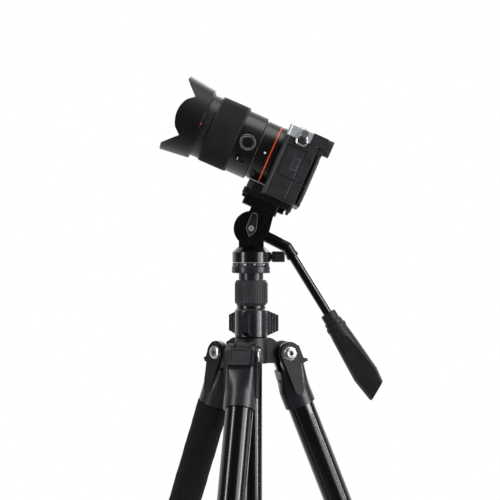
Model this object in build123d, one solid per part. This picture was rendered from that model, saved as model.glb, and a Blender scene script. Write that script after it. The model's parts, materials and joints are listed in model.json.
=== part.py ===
from build123d import *
import math
import os

# Mirrorless camera with a petal-hooded lens on a pan-and-tilt tripod, at real size in millimetres.
# The origin is on the floor, on the column axis. +Z is up, and the lens points to -X.
# Each function makes one piece in its own local frame, and assemble() puts the pieces in place.

# Clearances
RUN = 0.35  # between pieces that slide or turn on each other
SEAT = 0.1  # between pieces that are fixed together
PIN_RUN = 0.06  # a hinge pin in its hole

# Tripod legs
LEG_AZIMUTHS = {"front": -103.0, "right": 17.0, "left": 137.0}
LEG_SPLAY = 22.0  # first stop of the leg hinge, from the vertical
PIN_CIRCLE = 34.5  # column axis to hinge pin
PIN_R = 4.0
LEG_AXIS_INSET = 4.5  # the tube's axis lies this far inside the pin
CASTING_LENGTH = 52.0  # pin to the sleeve's lower edge
CASTING_WIDTH = 27.0
CASTING_ROUND = 5.0
SLEEVE_R = 15.2
SLEEVE_LENGTH = 16.0
EAR_R = 11.0
EAR_GAP = 15.6
BOSS_R = 9.2
BOSS_SPAN = 32.0
TONGUE_R = 4.5  # lower end of the raised tongue below each boss
BOLT_HEAD_R = 6.6
BOLT_HEAD_DEPTH = 3.0
BOLT_SOCKET_R = 2.6
BOLT_SOCKET_DEPTH = 2.2
BOLT_SUNK = 0.4
UPPER_TUBE_R = 13.0
MIDDLE_TUBE_R = 11.3
LOWER_TUBE_R = 9.6
TUBE_WALL = 1.3
UPPER_TUBE_LENGTH = 350.0
TUBE_SEAT = 30.0  # how far the upper tube goes into the casting
SECTION_GAP = 6.0  # upper tube's top to the tops of the tubes inside it
GROOVE_WIDTH = 4.0
GROOVE_DEPTH = 0.5
GROOVE_ANGLE = 72.0  # each side of the outward direction
LOCK_WALL = 3.0
LOCK_LENGTH = 34.0
LOCK_GRIP = 12.0  # how far a twist lock reaches up over the outer tube
LOCK_FLUTES = 14
LOCK_FLUTE_R = 1.3
LOCK_FLUTE_OUT = 0.5
LOCK_FLUTE_FOOT = 4.0
LOCK_FLUTE_HEAD = 5.0
LOCK_EDGE = 1.2
LOCK_SHOULDER = 2.5
LOCK_SHOULDER_IN = 1.8
LOCK_GAP = 1.0
FOOT_R = 12.5
FOOT_LENGTH = 34.0
FOOT_SOCKET = 16.0
FOOT_RINGS = 3
FOOT_RING_STEP = 5.0
FOOT_RING_DEPTH = 0.8
FOAM_WALL = 2.8
FOAM_LENGTH = 235.0

# Angle latch on each leg casting
LATCH_WIDTH = 20.6
LATCH_HEIGHT = 13.0
LATCH_THICK = 3.0
LATCH_TOP = 3.0  # above the pin
LATCH_BAR_HEIGHT = 4.4
LATCH_BAR_REACH = 3.2
LATCH_BAR_CREASE = 0.45  # share of the bar's height above its edge
LATCH_RECESS = 0.8
LATCH_RIM = 1.6
LATCH_TRAVEL = 2.5

# Canopy and column
HUB_R = 15.9
HUB_TOP = 15.0  # above the pins
HUB_BOTTOM = -9.5
ARM_WIDTH = 14.8
KNUCKLE_R = 8.0
ARM_TOP = 1.4  # above the pins
ARM_SWEEP_R = 12.5
COLUMN_R = 10.6
COLUMN_WALL = 1.5
COLUMN_FLOOR = 4.0
COLUMN_DROP = 215.0  # pins to the column's lower end
COLLET_WALL = 1.8
COLLET_SHORT = 4.0  # the collet ends this far below the wing lock's top
WING_LOCK_HEIGHT = 27.0
WING_LOCK_R = 15.8
WING_REACH = 26.4
WING_WIDTH = 7.0
WING_END_HEIGHT = 15.0
WING_ROOT_SHORT = 1.5
WING_BURY = 3.0
WING_CAP = 3.0
WING_RIBS = 3
WING_GROOVE_R = 0.7
COLLAR_RIM_R = 13.6
COLLAR_RIM_HEIGHT = 5.0
COLLAR_R = 15.9
COLLAR_HEIGHT = 20.6
COLLAR_CAP = 2.0
COLLAR_RIBS = 36
COLLAR_RIB_R = 0.75
COLLAR_RIB_OUT = 0.2
COLLAR_RIB_FOOT = 2.5
COLLAR_RIB_HEAD = 2.0
COLLAR_RIM_FALL = 1.5
COLLAR_CAP_IN = 1.6

# Pan and tilt head
NECK_R = 12.0
NECK_HEIGHT = 6.3
BASE_RING_R = 18.7
BASE_RING_HEIGHT = 7.0
BASE_RING_EDGE = 0.8
SCALE_R = 18.0
SCALE_HEIGHT = 3.0
STUD_R = 4.76
STUD_LENGTH = 7.0
PAN_R = 18.2
PAN_WALL_HEIGHT = 9.8
PAN_SHOULDER_HEIGHT = 5.0
YOKE_WIDTH = 24.0
YOKE_THICK = 14.0
YOKE_TOP_R = 13.6
PIVOT_RISE = 32.4  # pan base's lower face to the tilt axis
TILT = 23.7  # lens above the horizontal
DRUM_R = 16.8
DRUM_WIDTH = 37.0
HEAD_BACK = 0.86  # shares of the drum's radius in the head's side outline
HEAD_SHOULDER = 0.3
CHEEK_FOOT = (4.4, -14.7)  # lower end of the raised near cheek's straight edge, from the tilt axis
CHEEK_LEAN = 14.6
CHEEK_STEP = 2.0
YOKE_CLEAR = 1.2
AXLE_R = 4.0
LEVER_LENGTH = 15.5
LEVER_R = 5.2
LEVER_TIP_R = 3.4
LEVER_TAIL = 8.5
LEVER_THICK = 4.5
LEVER_TAIL_ANGLE = 30.0
LEVER_DISH = 1.0
LEVER_DISH_RIM = 1.2
LEVER_LEAN = 14.0
LEVER_BOLT_R = 2.6
LEVER_BOLT_RIM = 1.0
AXLE_FLANGE = 3.0
PAN_KNOB_R = 5.3
PAN_KNOB_LENGTH = 12.5
PAN_KNOB_SHAFT_R = 2.6
PAN_KNOB_FLUTES = 8
PAN_KNOB_EDGE = 0.9
PAN_KNOB_LEVEL = 0.55  # share of the pan base's wall height
PAN_FLUTE_OUT = 0.7
PAN_FLUTE_R = 1.3
PAN_FLUTE_FOOT = 2.5
PAN_BOSS_ROOT = 3.0
PAN_BOSS_REACH = 1.2
PAN_SHAFT_HOLE = 8.0

# Handle, in the plane behind the drum
ROSETTE_R = 12.5
ROSETTE_THICK = 8.0
ARM_R = 5.6
ARM_ROOT_R = 5.6
COLLAR_LIP = 0.6
COLLAR_LENGTH = 4.0
ARM_LENGTH = 39.0  # tilt axis to the bend
ARM_DROP = 26.6  # below the horizontal
BAR_DROP = 58.3
BAR_R = 4.5
BAR_LENGTH = 76.0
BAR_SOCKET = 12.0
GRIP_LENGTH = 90.0
GRIP_NECK_R = 7.8
GRIP_R = 10.4
GRIP_END_R = 12.8
GRIP_EDGE = 0.8
GRIP_NECK_LENGTH = 8.0
GRIP_STEP = 1.2
GRIP_SLOPE = 1.5
GRIP_RING = 6.5
GRIP_SECOND_RING = 3.0
GRIP_TAIL = 20.0
GRIP_TAPER = 3.0
GRIP_FLAT = 9.4  # half width where the flattened sides start
GRIP_FLAT_START = 28.0
GRIP_FLAT_LEAN = 2.0
GRIP_INSERT = 30.0
GRIP_SLANT = -28.0

# Quick release
CLAMP_LENGTH = 34.5
CLAMP_BACK = 16.4  # tilt axis to the clamp's rear end
CLAMP_WIDTH = 40.0
CLAMP_FLOOR = 19.2  # tilt axis to the clamp's underside
CLAMP_FLOOR_THICK = 4.8
RAIL_HEIGHT = 4.5
RAIL_TOP_GAP = 23.0
RAIL_SLANT = 3.2
PLATE_FRONT = -22.2
PLATE_BACK = 28.0
PLATE_WIDTH = 38.0
PLATE_THICK = 5.6
PLATE_GROOVES = 2
PLATE_GROOVE = 0.8
PLATE_CORNER = 2.5
PLATE_FOOT_FRONT = 5.0
PLATE_FOOT_BACK = 6.0
STOP_R = 1.5
STOP_DROP = 3.0
STOP_FRONT = 2.2
STOP_BACK = 2.6
STOP_SIDE = 12.0
CLAMP_KNOB_R = 8.0
CLAMP_KNOB_LENGTH = 12.0
CLAMP_KNOB_FLUTES = 12
CLAMP_KNOB_EDGE = 1.2
CLAMP_KNOB_LEVEL = 3.0  # above the clamp's underside
CLAMP_FLUTE_OUT = 0.8
CLAMP_FLUTE_R = 1.6
CLAMP_FLUTE_FOOT = 2.0
CLAMP_SHAFT_HOLE = 4.0
SCREW_R = 3.175
SCREW_HEAD_R = 7.2
SCREW_HEAD_THICK = 2.2
SCREW_HEAD_GAP = 1.0
SCREW_SLOT = 1.6
SCREW_SLOT_DEPTH = 1.2
SCREW_REACH = 4.5  # into the camera

# Camera body, measured from the lens axis and from the tilt axis
BODY_BOTTOM = 35.0
BODY_HEIGHT = 70.0
BODY_FRONT = -5.0
BODY_BACK = 28.4
BODY_REAR_LIP = 33.2
BODY_LEFT = -45.0
BODY_RIGHT = 79.0
BODY_CORNER = 5.0
BODY_EDGE = 1.2
REAR_INSET = 2.0  # monitor and its frame, inside the body's left end
REAR_INSET_RIGHT = 8.0
FINDER_INSET = 0.5
GRIP_ROOT = 10.0
LENS_AXIS = 38.0  # above the body's bottom
TOP_COVER_HEIGHT = 11.0
TOP_COVER_OVERHANG = 0.4
COVER_EDGE = 0.8
GRIP_DECK_DROP = 3.0  # the deck over the hand grip, below the cover's top
FINDER_FRONT = 18.3
FINDER_RIGHT = -10.0
GRIP_FRONT = -22.0
GRIP_LEFT = 46.0
GRIP_ROUND = 7.0
MOUNT_BORE_R = 23.0
MOUNT_DEPTH = 20.0
SENSOR_SIZE = (36.0, 24.0)
SENSOR_THICK = 2.5
MONITOR_THICK = 4.4
MONITOR_WIDTH = 79.0
MONITOR_BASE = 3.4  # above the body's bottom
MONITOR_HEIGHT = 48.0
MONITOR_EDGE = 0.8
MONITOR_RIM = 3.5
MONITOR_RECESS = 0.5
EYECUP_REACH = 6.2
EYECUP_WIDTH = 27.0
EYECUP_HEIGHT = 15.0
EYECUP_WALL = 3.2
EYECUP_FLOOR = 1.5
EYECUP_ROUND = 4.0
EYECUP_INSET = 3.0
DOOR_THICK = 1.6
DOOR_POCKET = 1.4  # space behind a door
DOOR_FRONT = 0.9
DOOR_LENGTH = 17.4
DOOR_BASE = 21.4  # above the body's bottom
DOOR_HEIGHT = 29.0
BATTERY_DOOR_SIZE = (30.0, 25.0)
BATTERY_DOOR_CENTRE = (-2.0, 60.0)
MODE_DIAL_R = 9.0
MODE_DIAL_HEIGHT = 5.0
MODE_DIAL_PLACE = (9.0, 27.0)
CONTROL_DIAL_R = 8.5
CONTROL_DIAL_HEIGHT = 4.0
CONTROL_DIAL_PLACE = (17.5, 60.0)
DIAL_RIBS = 24
DIAL_EDGE = 0.6
DIAL_RIB_OUT = 0.3
DIAL_RIB_R = 0.7
DIAL_RIB_HEAD = 1.0
DIAL_SPINDLE_R = 2.5
DIAL_SPINDLE_LENGTH = 4.0
SHUTTER_R = 5.2
SHUTTER_RISE = 1.8
SHUTTER_TRAVEL = 1.2
SHUTTER_SKIRT = 1.2
SHUTTER_ROUND = 0.8
SHUTTER_PLACE = (-13.0, 66.0)
SHOE_SIZE = (18.4, 20.0)
SHOE_DEPTH = 2.2
SHOE_PLACE = (7.0, 0.0)
LUG_R = 3.4
LUG_REACH = 2.6
LUG_PLACE = 10.6  # behind the lens mount's face datum
LUG_BELOW_TOP = 4.2
LUG_PIN_R = 1.5
LUG_PIN_LENGTH = 2.5
LUG_HOLE_DEPTH = 4.0
RING_SLACK = 0.25
RING_WIRE_R = 0.8
RING_WIDTH = 11.0
RING_DROP = 9.5
RING_NECK = 2.6
RING_WAIST = 0.55  # share of the ring's drop
RING_FOOT_IN = 1.5
RING_BEND = 1.2

# Lens, as stations along its axis and radii
LENS_REAR_R = 29.6
LENS_GROOVE = -25.6
LENS_GROOVE_WIDTH = 1.2
LENS_GROOVE_DEPTH = 1.0
LENS_RAMP = 0.8
LENS_MID_FRONT = -45.6
LENS_MID_R = 31.7
FOCUS_FRONT = -74.4
FOCUS_R = 32.5
FOCUS_WALL = 2.3
LENS_FRONT = -85.0
LENS_FRONT_R = 31.2
LENS_BORE_R = 21.0
LENS_BORE_LENGTH = 12.0
FILTER_R = 29.0
FILTER_DEPTH = 4.0
GLASS_R = 26.0
GLASS_THICK = 7.0
GLASS_BULGE_R = 60.0
GLASS_SUNK = 2.0
GLASS_CROWN = 1.5
GLASS_LEDGE = 4.0
HOOD_REAR = -82.6
HOOD_REAR_R = 35.0
HOOD_TIP = -111.6
HOOD_SIDE_TIP = -108.2
HOOD_NOTCH = -98.0
HOOD_TIP_R = 38.0
HOOD_WALL = 1.6
HOOD_EDGE = 1.2
HOOD_THROAT = 3.0
HOOD_LIP = 0.5
HOOD_NOTCH_HALF = 19.8
HOOD_PETAL_CROWN = 4.0
HOOD_PETAL_TAPER = 0.72
HOOD_FLAT_HALF = 32.5
BUTTON_R = 5.4
BUTTON_RISE = 1.2
BUTTON_DEPTH = 2.4
BUTTON_TRAVEL = 0.8
BUTTON_EDGE = 0.5
BUTTON_STATION = -35.6
SWITCH_STATION = -36.0
SWITCH_BELOW = 32.0  # degrees below the lens axis level, on the side
SWITCH_KNOB = (4.5, 4.4)
SWITCH_TRAVEL = 5.0
SWITCH_END = 1.0  # slot beyond the knob's travel at each end
SWITCH_SIDE = 0.9  # slot beside the knob
SWITCH_SLOT = (SWITCH_KNOB[0] + SWITCH_TRAVEL + 2 * SWITCH_END, SWITCH_KNOB[1] + 2 * SWITCH_SIDE)
SWITCH_ROUND = 2.0
SWITCH_RISE = 2.6
SWITCH_DEPTH = 1.4

# Heights that follow from the driving sizes
UPPER_TUBE_TOP = -CASTING_LENGTH + TUBE_SEAT
UPPER_TUBE_END = UPPER_TUBE_TOP - UPPER_TUBE_LENGTH
LOCK_DROP = LOCK_LENGTH - LOCK_GRIP
MIDDLE_TUBE_END = UPPER_TUBE_END - LOCK_DROP - LOCK_GAP - LOCK_GRIP
LOWER_TUBE_END = MIDDLE_TUBE_END - LOCK_DROP - LOCK_GAP - FOOT_SOCKET
FOOT_TOP = MIDDLE_TUBE_END - LOCK_DROP - LOCK_GAP
FOOT_BALL = FOOT_TOP - FOOT_LENGTH + FOOT_R
SECTION_TOP = UPPER_TUBE_TOP - SECTION_GAP
SPLAY = math.radians(LEG_SPLAY)
PIN_HEIGHT = FOOT_R - FOOT_BALL * math.cos(SPLAY) + LEG_AXIS_INSET * math.sin(SPLAY)

WING_LOCK_BASE = PIN_HEIGHT + HUB_TOP + RUN
COLLAR_RIM_BASE = WING_LOCK_BASE + WING_LOCK_HEIGHT + RUN
COLLAR_BASE = COLLAR_RIM_BASE + COLLAR_RIM_HEIGHT
COLUMN_TOP = COLLAR_BASE + COLLAR_HEIGHT + COLLAR_CAP + RUN
BASE_RING_BASE = COLUMN_TOP + NECK_HEIGHT
SCALE_BASE = BASE_RING_BASE + BASE_RING_HEIGHT
PAN_BASE = SCALE_BASE + SCALE_HEIGHT + RUN
PIVOT_HEIGHT = PAN_BASE + PIVOT_RISE

BODY_TOP = BODY_BOTTOM + BODY_HEIGHT
COVER_BASE = BODY_TOP - TOP_COVER_HEIGHT
LENS_Z = BODY_BOTTOM + LENS_AXIS
LENS_REAR = BODY_FRONT - TOP_COVER_OVERHANG - SEAT
RAIL_BASE = CLAMP_FLOOR + CLAMP_FLOOR_THICK
PLATE_BOTTOM = RAIL_BASE + RAIL_HEIGHT + RUN
PLATE_TOP = PLATE_BOTTOM + PLATE_THICK
ROSETTE_INNER = DRUM_WIDTH / 2 + RUN
HANDLE_PLANE = ROSETTE_INNER + ARM_R


# Helpers

def cylinder(radius, bottom, top):
    return Pos(0, 0, (bottom + top) / 2) * Cylinder(radius, top - bottom)


def block(x0, x1, y0, y1, z0, z1):
    centre = Pos((x0 + x1) / 2, (y0 + y1) / 2, (z0 + z1) / 2)
    return centre * Box(x1 - x0, y1 - y0, z1 - z0)


def turned(points):
    """Solid of revolution about Z from (radius, height) points."""
    return revolve(Plane.XZ * make_face(Polyline(*points, close=True)), Axis.Z)


def along_y(radius, y0, y1):
    return Rot(-90, 0, 0) * cylinder(radius, y0, y1)


def along_x(radius, x0, x1):
    return Rot(0, 90, 0) * cylinder(radius, x0, x1)


def slab_y(sketch, y0, y1):
    """Extrudes a sketch drawn in (x, z) from y0 to y1."""
    return extrude(Plane((0, y1, 0), x_dir=(1, 0, 0), z_dir=(0, -1, 0)) * sketch, y1 - y0)


def fluted(piece, count, circle_r, flute_r, bottom, top):
    """Cuts evenly spaced round flutes along Z into a piece centred on Z."""
    flute = Pos(circle_r, 0, 0) * cylinder(flute_r, bottom, top)
    return piece - [Rot(0, 0, 360 / count * i) * flute for i in range(count)]


def lens_turned(points):
    """Solid of revolution about the lens axis from (station, radius) points."""
    profile = make_face(Polyline(*[(r, -x) for x, r in points], close=True))
    solid = revolve(Plane.XZ * profile, Axis.Z)
    return Pos(0, 0, LENS_Z) * Rot(0, -90, 0) * solid


# Legs, in the leg frame: pin along Y at the origin, outward is +X, tube runs down -Z

def on_leg_axis(piece):
    return Pos(-LEG_AXIS_INSET, 0, 0) * piece


def latch_face():
    """Distance of the latch pocket's floor from the pin."""
    return EAR_R - 2.0


def leg_casting():
    sleeve_top = -CASTING_LENGTH + SLEEVE_LENGTH
    shoulder = -EAR_R - 3.0
    sleeve = on_leg_axis(cylinder(SLEEVE_R, -CASTING_LENGTH, sleeve_top))
    round_end = Plane((-LEG_AXIS_INSET, 0, sleeve_top)) * Circle(SLEEVE_R)
    depth = EAR_R + SLEEVE_R + LEG_AXIS_INSET - 5.0
    square_end = RectangleRounded(depth, CASTING_WIDTH, CASTING_ROUND)
    square_end = Plane((EAR_R - depth / 2, 0, shoulder)) * square_end
    body = sleeve + loft([round_end, square_end])
    ear_side = Circle(EAR_R) + Pos(0, shoulder / 2) * Rectangle(2 * EAR_R, -shoulder)
    body += slab_y(ear_side, -CASTING_WIDTH / 2, CASTING_WIDTH / 2)
    tongue_end = Pos(-LEG_AXIS_INSET, -CASTING_LENGTH + SLEEVE_LENGTH)
    tongue = make_hull((Circle(BOSS_R) + tongue_end * Circle(TONGUE_R)).edges())
    body += slab_y(tongue, -BOSS_SPAN / 2, BOSS_SPAN / 2)
    gap = EAR_GAP / 2
    body -= block(-2 * CASTING_WIDTH, 2 * CASTING_WIDTH, -gap, gap, shoulder, 2 * EAR_R)
    pocket_bottom = LATCH_TOP - LATCH_HEIGHT - LATCH_BAR_HEIGHT - LATCH_TRAVEL - 2 * RUN
    pocket_half = LATCH_WIDTH / 2 + RUN
    body -= block(latch_face(), 2 * CASTING_WIDTH, -pocket_half, pocket_half, pocket_bottom, 2 * EAR_R)
    body -= along_y(PIN_R + PIN_RUN, -BOSS_SPAN, BOSS_SPAN)
    for side in (-1, 1):
        recess = sorted((side * BOSS_SPAN, side * (BOSS_SPAN / 2 - BOLT_HEAD_DEPTH - RUN)))
        body -= along_y(BOLT_HEAD_R + RUN, *recess)
    body -= on_leg_axis(cylinder(UPPER_TUBE_R + SEAT, -2 * CASTING_LENGTH, UPPER_TUBE_TOP))
    return body


def leg_latch():
    bottom = LATCH_TOP - LATCH_HEIGHT
    half = LATCH_WIDTH / 2
    front = latch_face() + RUN + LATCH_THICK
    plate = block(latch_face() + RUN, front, -half, half, bottom, LATCH_TOP)
    rim = half - LATCH_RIM
    plate -= block(front - LATCH_RECESS, front, -rim, rim, bottom + LATCH_RIM, LATCH_TOP - LATCH_RIM)
    reach = front + LATCH_BAR_REACH
    bar_side = make_face(Polyline(
        (latch_face() + RUN, bottom),
        (front, bottom),
        (reach, bottom - LATCH_BAR_HEIGHT * LATCH_BAR_CREASE),
        (reach, bottom - LATCH_BAR_HEIGHT),
        (latch_face() + RUN, bottom - LATCH_BAR_HEIGHT),
        close=True,
    ))
    return plate + slab_y(bar_side, -half, half)


def hinge_bolts():
    """One bolt per leg: a pin with a socket-drilled round head at each end."""
    half = BOSS_SPAN / 2
    bolt = along_y(PIN_R, -half + BOLT_HEAD_DEPTH, half - BOLT_HEAD_DEPTH)
    for side in (-1, 1):
        head = sorted((side * (half - BOLT_HEAD_DEPTH), side * (half - BOLT_SUNK)))
        socket = sorted((side * (half - BOLT_SOCKET_DEPTH), side * half))
        bolt += along_y(BOLT_HEAD_R, *head)
        bolt -= along_y(BOLT_SOCKET_R, *socket)
    return bolt


def tube(radius, bottom, top, grooves=False):
    body = cylinder(radius, bottom, top) - cylinder(radius - TUBE_WALL, bottom, top)
    if grooves:
        cutter = block(radius - GROOVE_DEPTH, radius + 1, -GROOVE_WIDTH / 2, GROOVE_WIDTH / 2, bottom, top)
        body -= [Rot(0, 0, angle) * cutter for angle in (-GROOVE_ANGLE, GROOVE_ANGLE)]
    return on_leg_axis(body)


def twist_lock(outer_tube_r, inner_tube_r, tube_end):
    """Collar round the end of one tube, with a smaller bore for the tube that slides in it."""
    radius = outer_tube_r + LOCK_WALL
    top, bottom = tube_end + LOCK_GRIP, tube_end - LOCK_DROP
    bore, throat = outer_tube_r + RUN, inner_tube_r + RUN
    body = turned([
        (throat, bottom),
        (radius - LOCK_EDGE, bottom),
        (radius, bottom + LOCK_EDGE),
        (radius, top - LOCK_SHOULDER),
        (radius - LOCK_SHOULDER_IN, top),
        (bore, top),
        (bore, tube_end - RUN),
        (throat, tube_end - RUN),
    ])
    foot, head = bottom + LOCK_FLUTE_FOOT, top - LOCK_FLUTE_HEAD
    return on_leg_axis(fluted(body, LOCK_FLUTES, radius + LOCK_FLUTE_OUT, LOCK_FLUTE_R, foot, head))


def foot():
    outline = make_face(
        Line((0, FOOT_BALL - FOOT_R), (0, FOOT_TOP))
        + Polyline((0, FOOT_TOP), (FOOT_R - 1.0, FOOT_TOP), (FOOT_R, FOOT_TOP - 1.0), (FOOT_R, FOOT_BALL))
        + RadiusArc((FOOT_R, FOOT_BALL), (0, FOOT_BALL - FOOT_R), FOOT_R)
    )
    body = revolve(Plane.XZ * outline, Axis.Z)
    body -= cylinder(LOWER_TUBE_R + SEAT, FOOT_TOP - FOOT_SOCKET, FOOT_TOP)
    for i in range(FOOT_RINGS):
        level = FOOT_TOP - FOOT_RING_STEP * (i + 1)
        band = cylinder(FOOT_R + 1, level - FOOT_RING_DEPTH, level + FOOT_RING_DEPTH)
        body -= band - cylinder(FOOT_R - FOOT_RING_DEPTH, FOOT_BALL, FOOT_TOP)
    return on_leg_axis(body)


def foam_grip():
    top = -CASTING_LENGTH - RUN
    bottom = top - FOAM_LENGTH
    radius = UPPER_TUBE_R + FOAM_WALL
    body = cylinder(radius, bottom, top)
    body = chamfer(body.edges().filter_by(GeomType.CIRCLE), 1.0)
    return on_leg_axis(body - cylinder(UPPER_TUBE_R + SEAT, bottom, top))


# Canopy and column, in the part's own frame but measured up from the pins

def canopy_arm():
    """Arm from the hub to a hinge knuckle, with a swept concave top and a flat underside."""
    inner = HUB_R - COLLET_WALL
    arm_end = PIN_CIRCLE - KNUCKLE_R
    top = make_face(
        Polyline(
            (arm_end, ARM_TOP), (PIN_CIRCLE, ARM_TOP), (PIN_CIRCLE, HUB_BOTTOM),
            (inner, HUB_BOTTOM), (inner, HUB_TOP),
        )
        + Line((inner, HUB_TOP), (HUB_R, HUB_TOP))
        + RadiusArc((HUB_R, HUB_TOP), (arm_end, ARM_TOP), ARM_SWEEP_R)
    )
    arm = slab_y(top, -ARM_WIDTH / 2, ARM_WIDTH / 2)
    arm &= cylinder(PIN_CIRCLE + KNUCKLE_R, 2 * HUB_BOTTOM, HUB_TOP)
    knuckle = along_y(KNUCKLE_R, -ARM_WIDTH / 2, ARM_WIDTH / 2)
    pin_hole = along_y(PIN_R + PIN_RUN, -ARM_WIDTH, ARM_WIDTH)
    return arm + Pos(PIN_CIRCLE, 0, 0) * knuckle - Pos(PIN_CIRCLE, 0, 0) * pin_hole


def canopy():
    collet_r = COLUMN_R + RUN + COLLET_WALL
    body = cylinder(HUB_R, HUB_BOTTOM, HUB_TOP)
    body += cylinder(collet_r, HUB_TOP, HUB_TOP + WING_LOCK_HEIGHT - COLLET_SHORT)
    body += [Rot(0, 0, azimuth) * canopy_arm() for azimuth in LEG_AZIMUTHS.values()]
    body -= cylinder(COLUMN_R + RUN, HUB_BOTTOM, HUB_TOP + WING_LOCK_HEIGHT)
    return Pos(0, 0, PIN_HEIGHT) * body


def column_wing_lock():
    bore = COLUMN_R + RUN + COLLET_WALL + RUN
    body = cylinder(WING_LOCK_R, 0, WING_LOCK_HEIGHT)
    body = chamfer(body.edges().filter_by(GeomType.CIRCLE), 1.0)
    middle = WING_LOCK_HEIGHT / 2
    half_root, half_end = middle - WING_ROOT_SHORT, WING_END_HEIGHT / 2
    wing_side = make_face(Polyline(
        (WING_LOCK_R - WING_BURY, middle - half_root),
        (WING_LOCK_R, middle - half_root),
        (WING_REACH, middle - half_end),
        (WING_REACH, middle + half_end),
        (WING_LOCK_R, middle + half_root),
        (WING_LOCK_R - WING_BURY, middle + half_root),
        close=True,
    ))
    wing = slab_y(wing_side, -WING_WIDTH / 2, WING_WIDTH / 2)
    rib_step = (WING_REACH - WING_LOCK_R) / (WING_RIBS + 1)
    for i in range(1, WING_RIBS + 1):
        groove = Pos(WING_LOCK_R + rib_step * i, 0, 0) * cylinder(WING_GROOVE_R, 0, WING_LOCK_HEIGHT)
        wing -= [Pos(0, side * WING_WIDTH / 2, 0) * groove for side in (-1, 1)]
    body += [Rot(0, 0, azimuth) * wing for azimuth in LEG_AZIMUTHS.values()]
    body -= cylinder(bore, 0, WING_LOCK_HEIGHT - WING_CAP)
    body -= cylinder(COLUMN_R + RUN, 0, WING_LOCK_HEIGHT)
    return Pos(0, 0, WING_LOCK_BASE) * body


def column_tube():
    bottom = PIN_HEIGHT - COLUMN_DROP
    plug_thick = STUD_LENGTH + 2.0
    body = cylinder(COLUMN_R, bottom, COLUMN_TOP)
    body -= cylinder(COLUMN_R - COLUMN_WALL, bottom + COLUMN_FLOOR, COLUMN_TOP - plug_thick)
    body -= cylinder(STUD_R + SEAT, COLUMN_TOP - plug_thick, COLUMN_TOP)
    return chamfer(body.edges().group_by(Axis.Z)[0], 1.0)


def column_twist_collar():
    bore = COLUMN_R + RUN
    top = COLLAR_BASE + COLLAR_HEIGHT
    body = turned([
        (bore, COLLAR_RIM_BASE),
        (COLLAR_RIM_R, COLLAR_RIM_BASE),
        (COLLAR_RIM_R, COLLAR_BASE - COLLAR_RIM_FALL),
        (COLLAR_R, COLLAR_BASE + 1.0),
        (COLLAR_R, top - 1.0),
        (COLLAR_R - COLLAR_CAP_IN, top + COLLAR_CAP),
        (bore, top + COLLAR_CAP),
    ])
    foot, head = COLLAR_BASE + COLLAR_RIB_FOOT, top - COLLAR_RIB_HEAD
    return fluted(body, COLLAR_RIBS, COLLAR_R + COLLAR_RIB_OUT, COLLAR_RIB_R, foot, head)


# Head base, pan base and tilt parts

def head_base():
    body = cylinder(NECK_R, COLUMN_TOP, BASE_RING_BASE)
    ring = cylinder(BASE_RING_R, BASE_RING_BASE, SCALE_BASE)
    body += chamfer(ring.edges().filter_by(GeomType.CIRCLE), BASE_RING_EDGE)
    body += cylinder(SCALE_R, SCALE_BASE, PAN_BASE - RUN)
    return body + cylinder(STUD_R, COLUMN_TOP - STUD_LENGTH, COLUMN_TOP)


def knob_height():
    """Height of the pan knob's axis above the pan base's lower face."""
    return PAN_WALL_HEIGHT * PAN_KNOB_LEVEL


def pan_base():
    shoulder_r = YOKE_WIDTH / 2
    shoulder_top = PAN_WALL_HEIGHT + PAN_SHOULDER_HEIGHT
    body = turned([
        (0, 0),
        (PAN_R, 0),
        (PAN_R, PAN_WALL_HEIGHT),
        (shoulder_r + 1.0, shoulder_top),
        (0, shoulder_top),
    ])
    upright = Pos(0, PIVOT_RISE) * Circle(YOKE_TOP_R)
    stem_top = PIVOT_RISE
    upright += Pos(0, (stem_top + PAN_WALL_HEIGHT) / 2) * Rectangle(YOKE_WIDTH, stem_top - PAN_WALL_HEIGHT)
    body += slab_y(upright, -YOKE_THICK / 2, YOKE_THICK / 2)
    boss = along_x(PAN_KNOB_R - PAN_KNOB_EDGE, PAN_R - PAN_BOSS_ROOT, PAN_R + PAN_BOSS_REACH)
    body += Pos(0, 0, knob_height()) * boss
    body -= Pos(0, 0, PIVOT_RISE) * along_y(AXLE_R + PIN_RUN, -YOKE_THICK, YOKE_THICK)
    shaft = along_x(PAN_KNOB_SHAFT_R + PIN_RUN, PAN_R - PAN_SHAFT_HOLE, PAN_R + 2 * PAN_BOSS_REACH)
    body -= Pos(0, 0, knob_height()) * shaft
    return Pos(0, 0, PAN_BASE) * body


def pan_lock_knob():
    start = PAN_R + PAN_BOSS_REACH + RUN
    knob = cylinder(PAN_KNOB_R, start, start + PAN_KNOB_LENGTH)
    knob = chamfer(knob.edges().filter_by(GeomType.CIRCLE), PAN_KNOB_EDGE)
    knob = fluted(
        knob, PAN_KNOB_FLUTES, PAN_KNOB_R + PAN_FLUTE_OUT, PAN_FLUTE_R,
        start + PAN_FLUTE_FOOT, start + PAN_KNOB_LENGTH,
    )
    knob += cylinder(PAN_KNOB_SHAFT_R, PAN_R - PAN_SHAFT_HOLE + RUN, start)
    return Pos(0, 0, PAN_BASE + knob_height()) * Rot(0, 90, 0) * knob


# The tilt frame: tilt axis along Y at the origin, lens towards -X before the tilt

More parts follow.
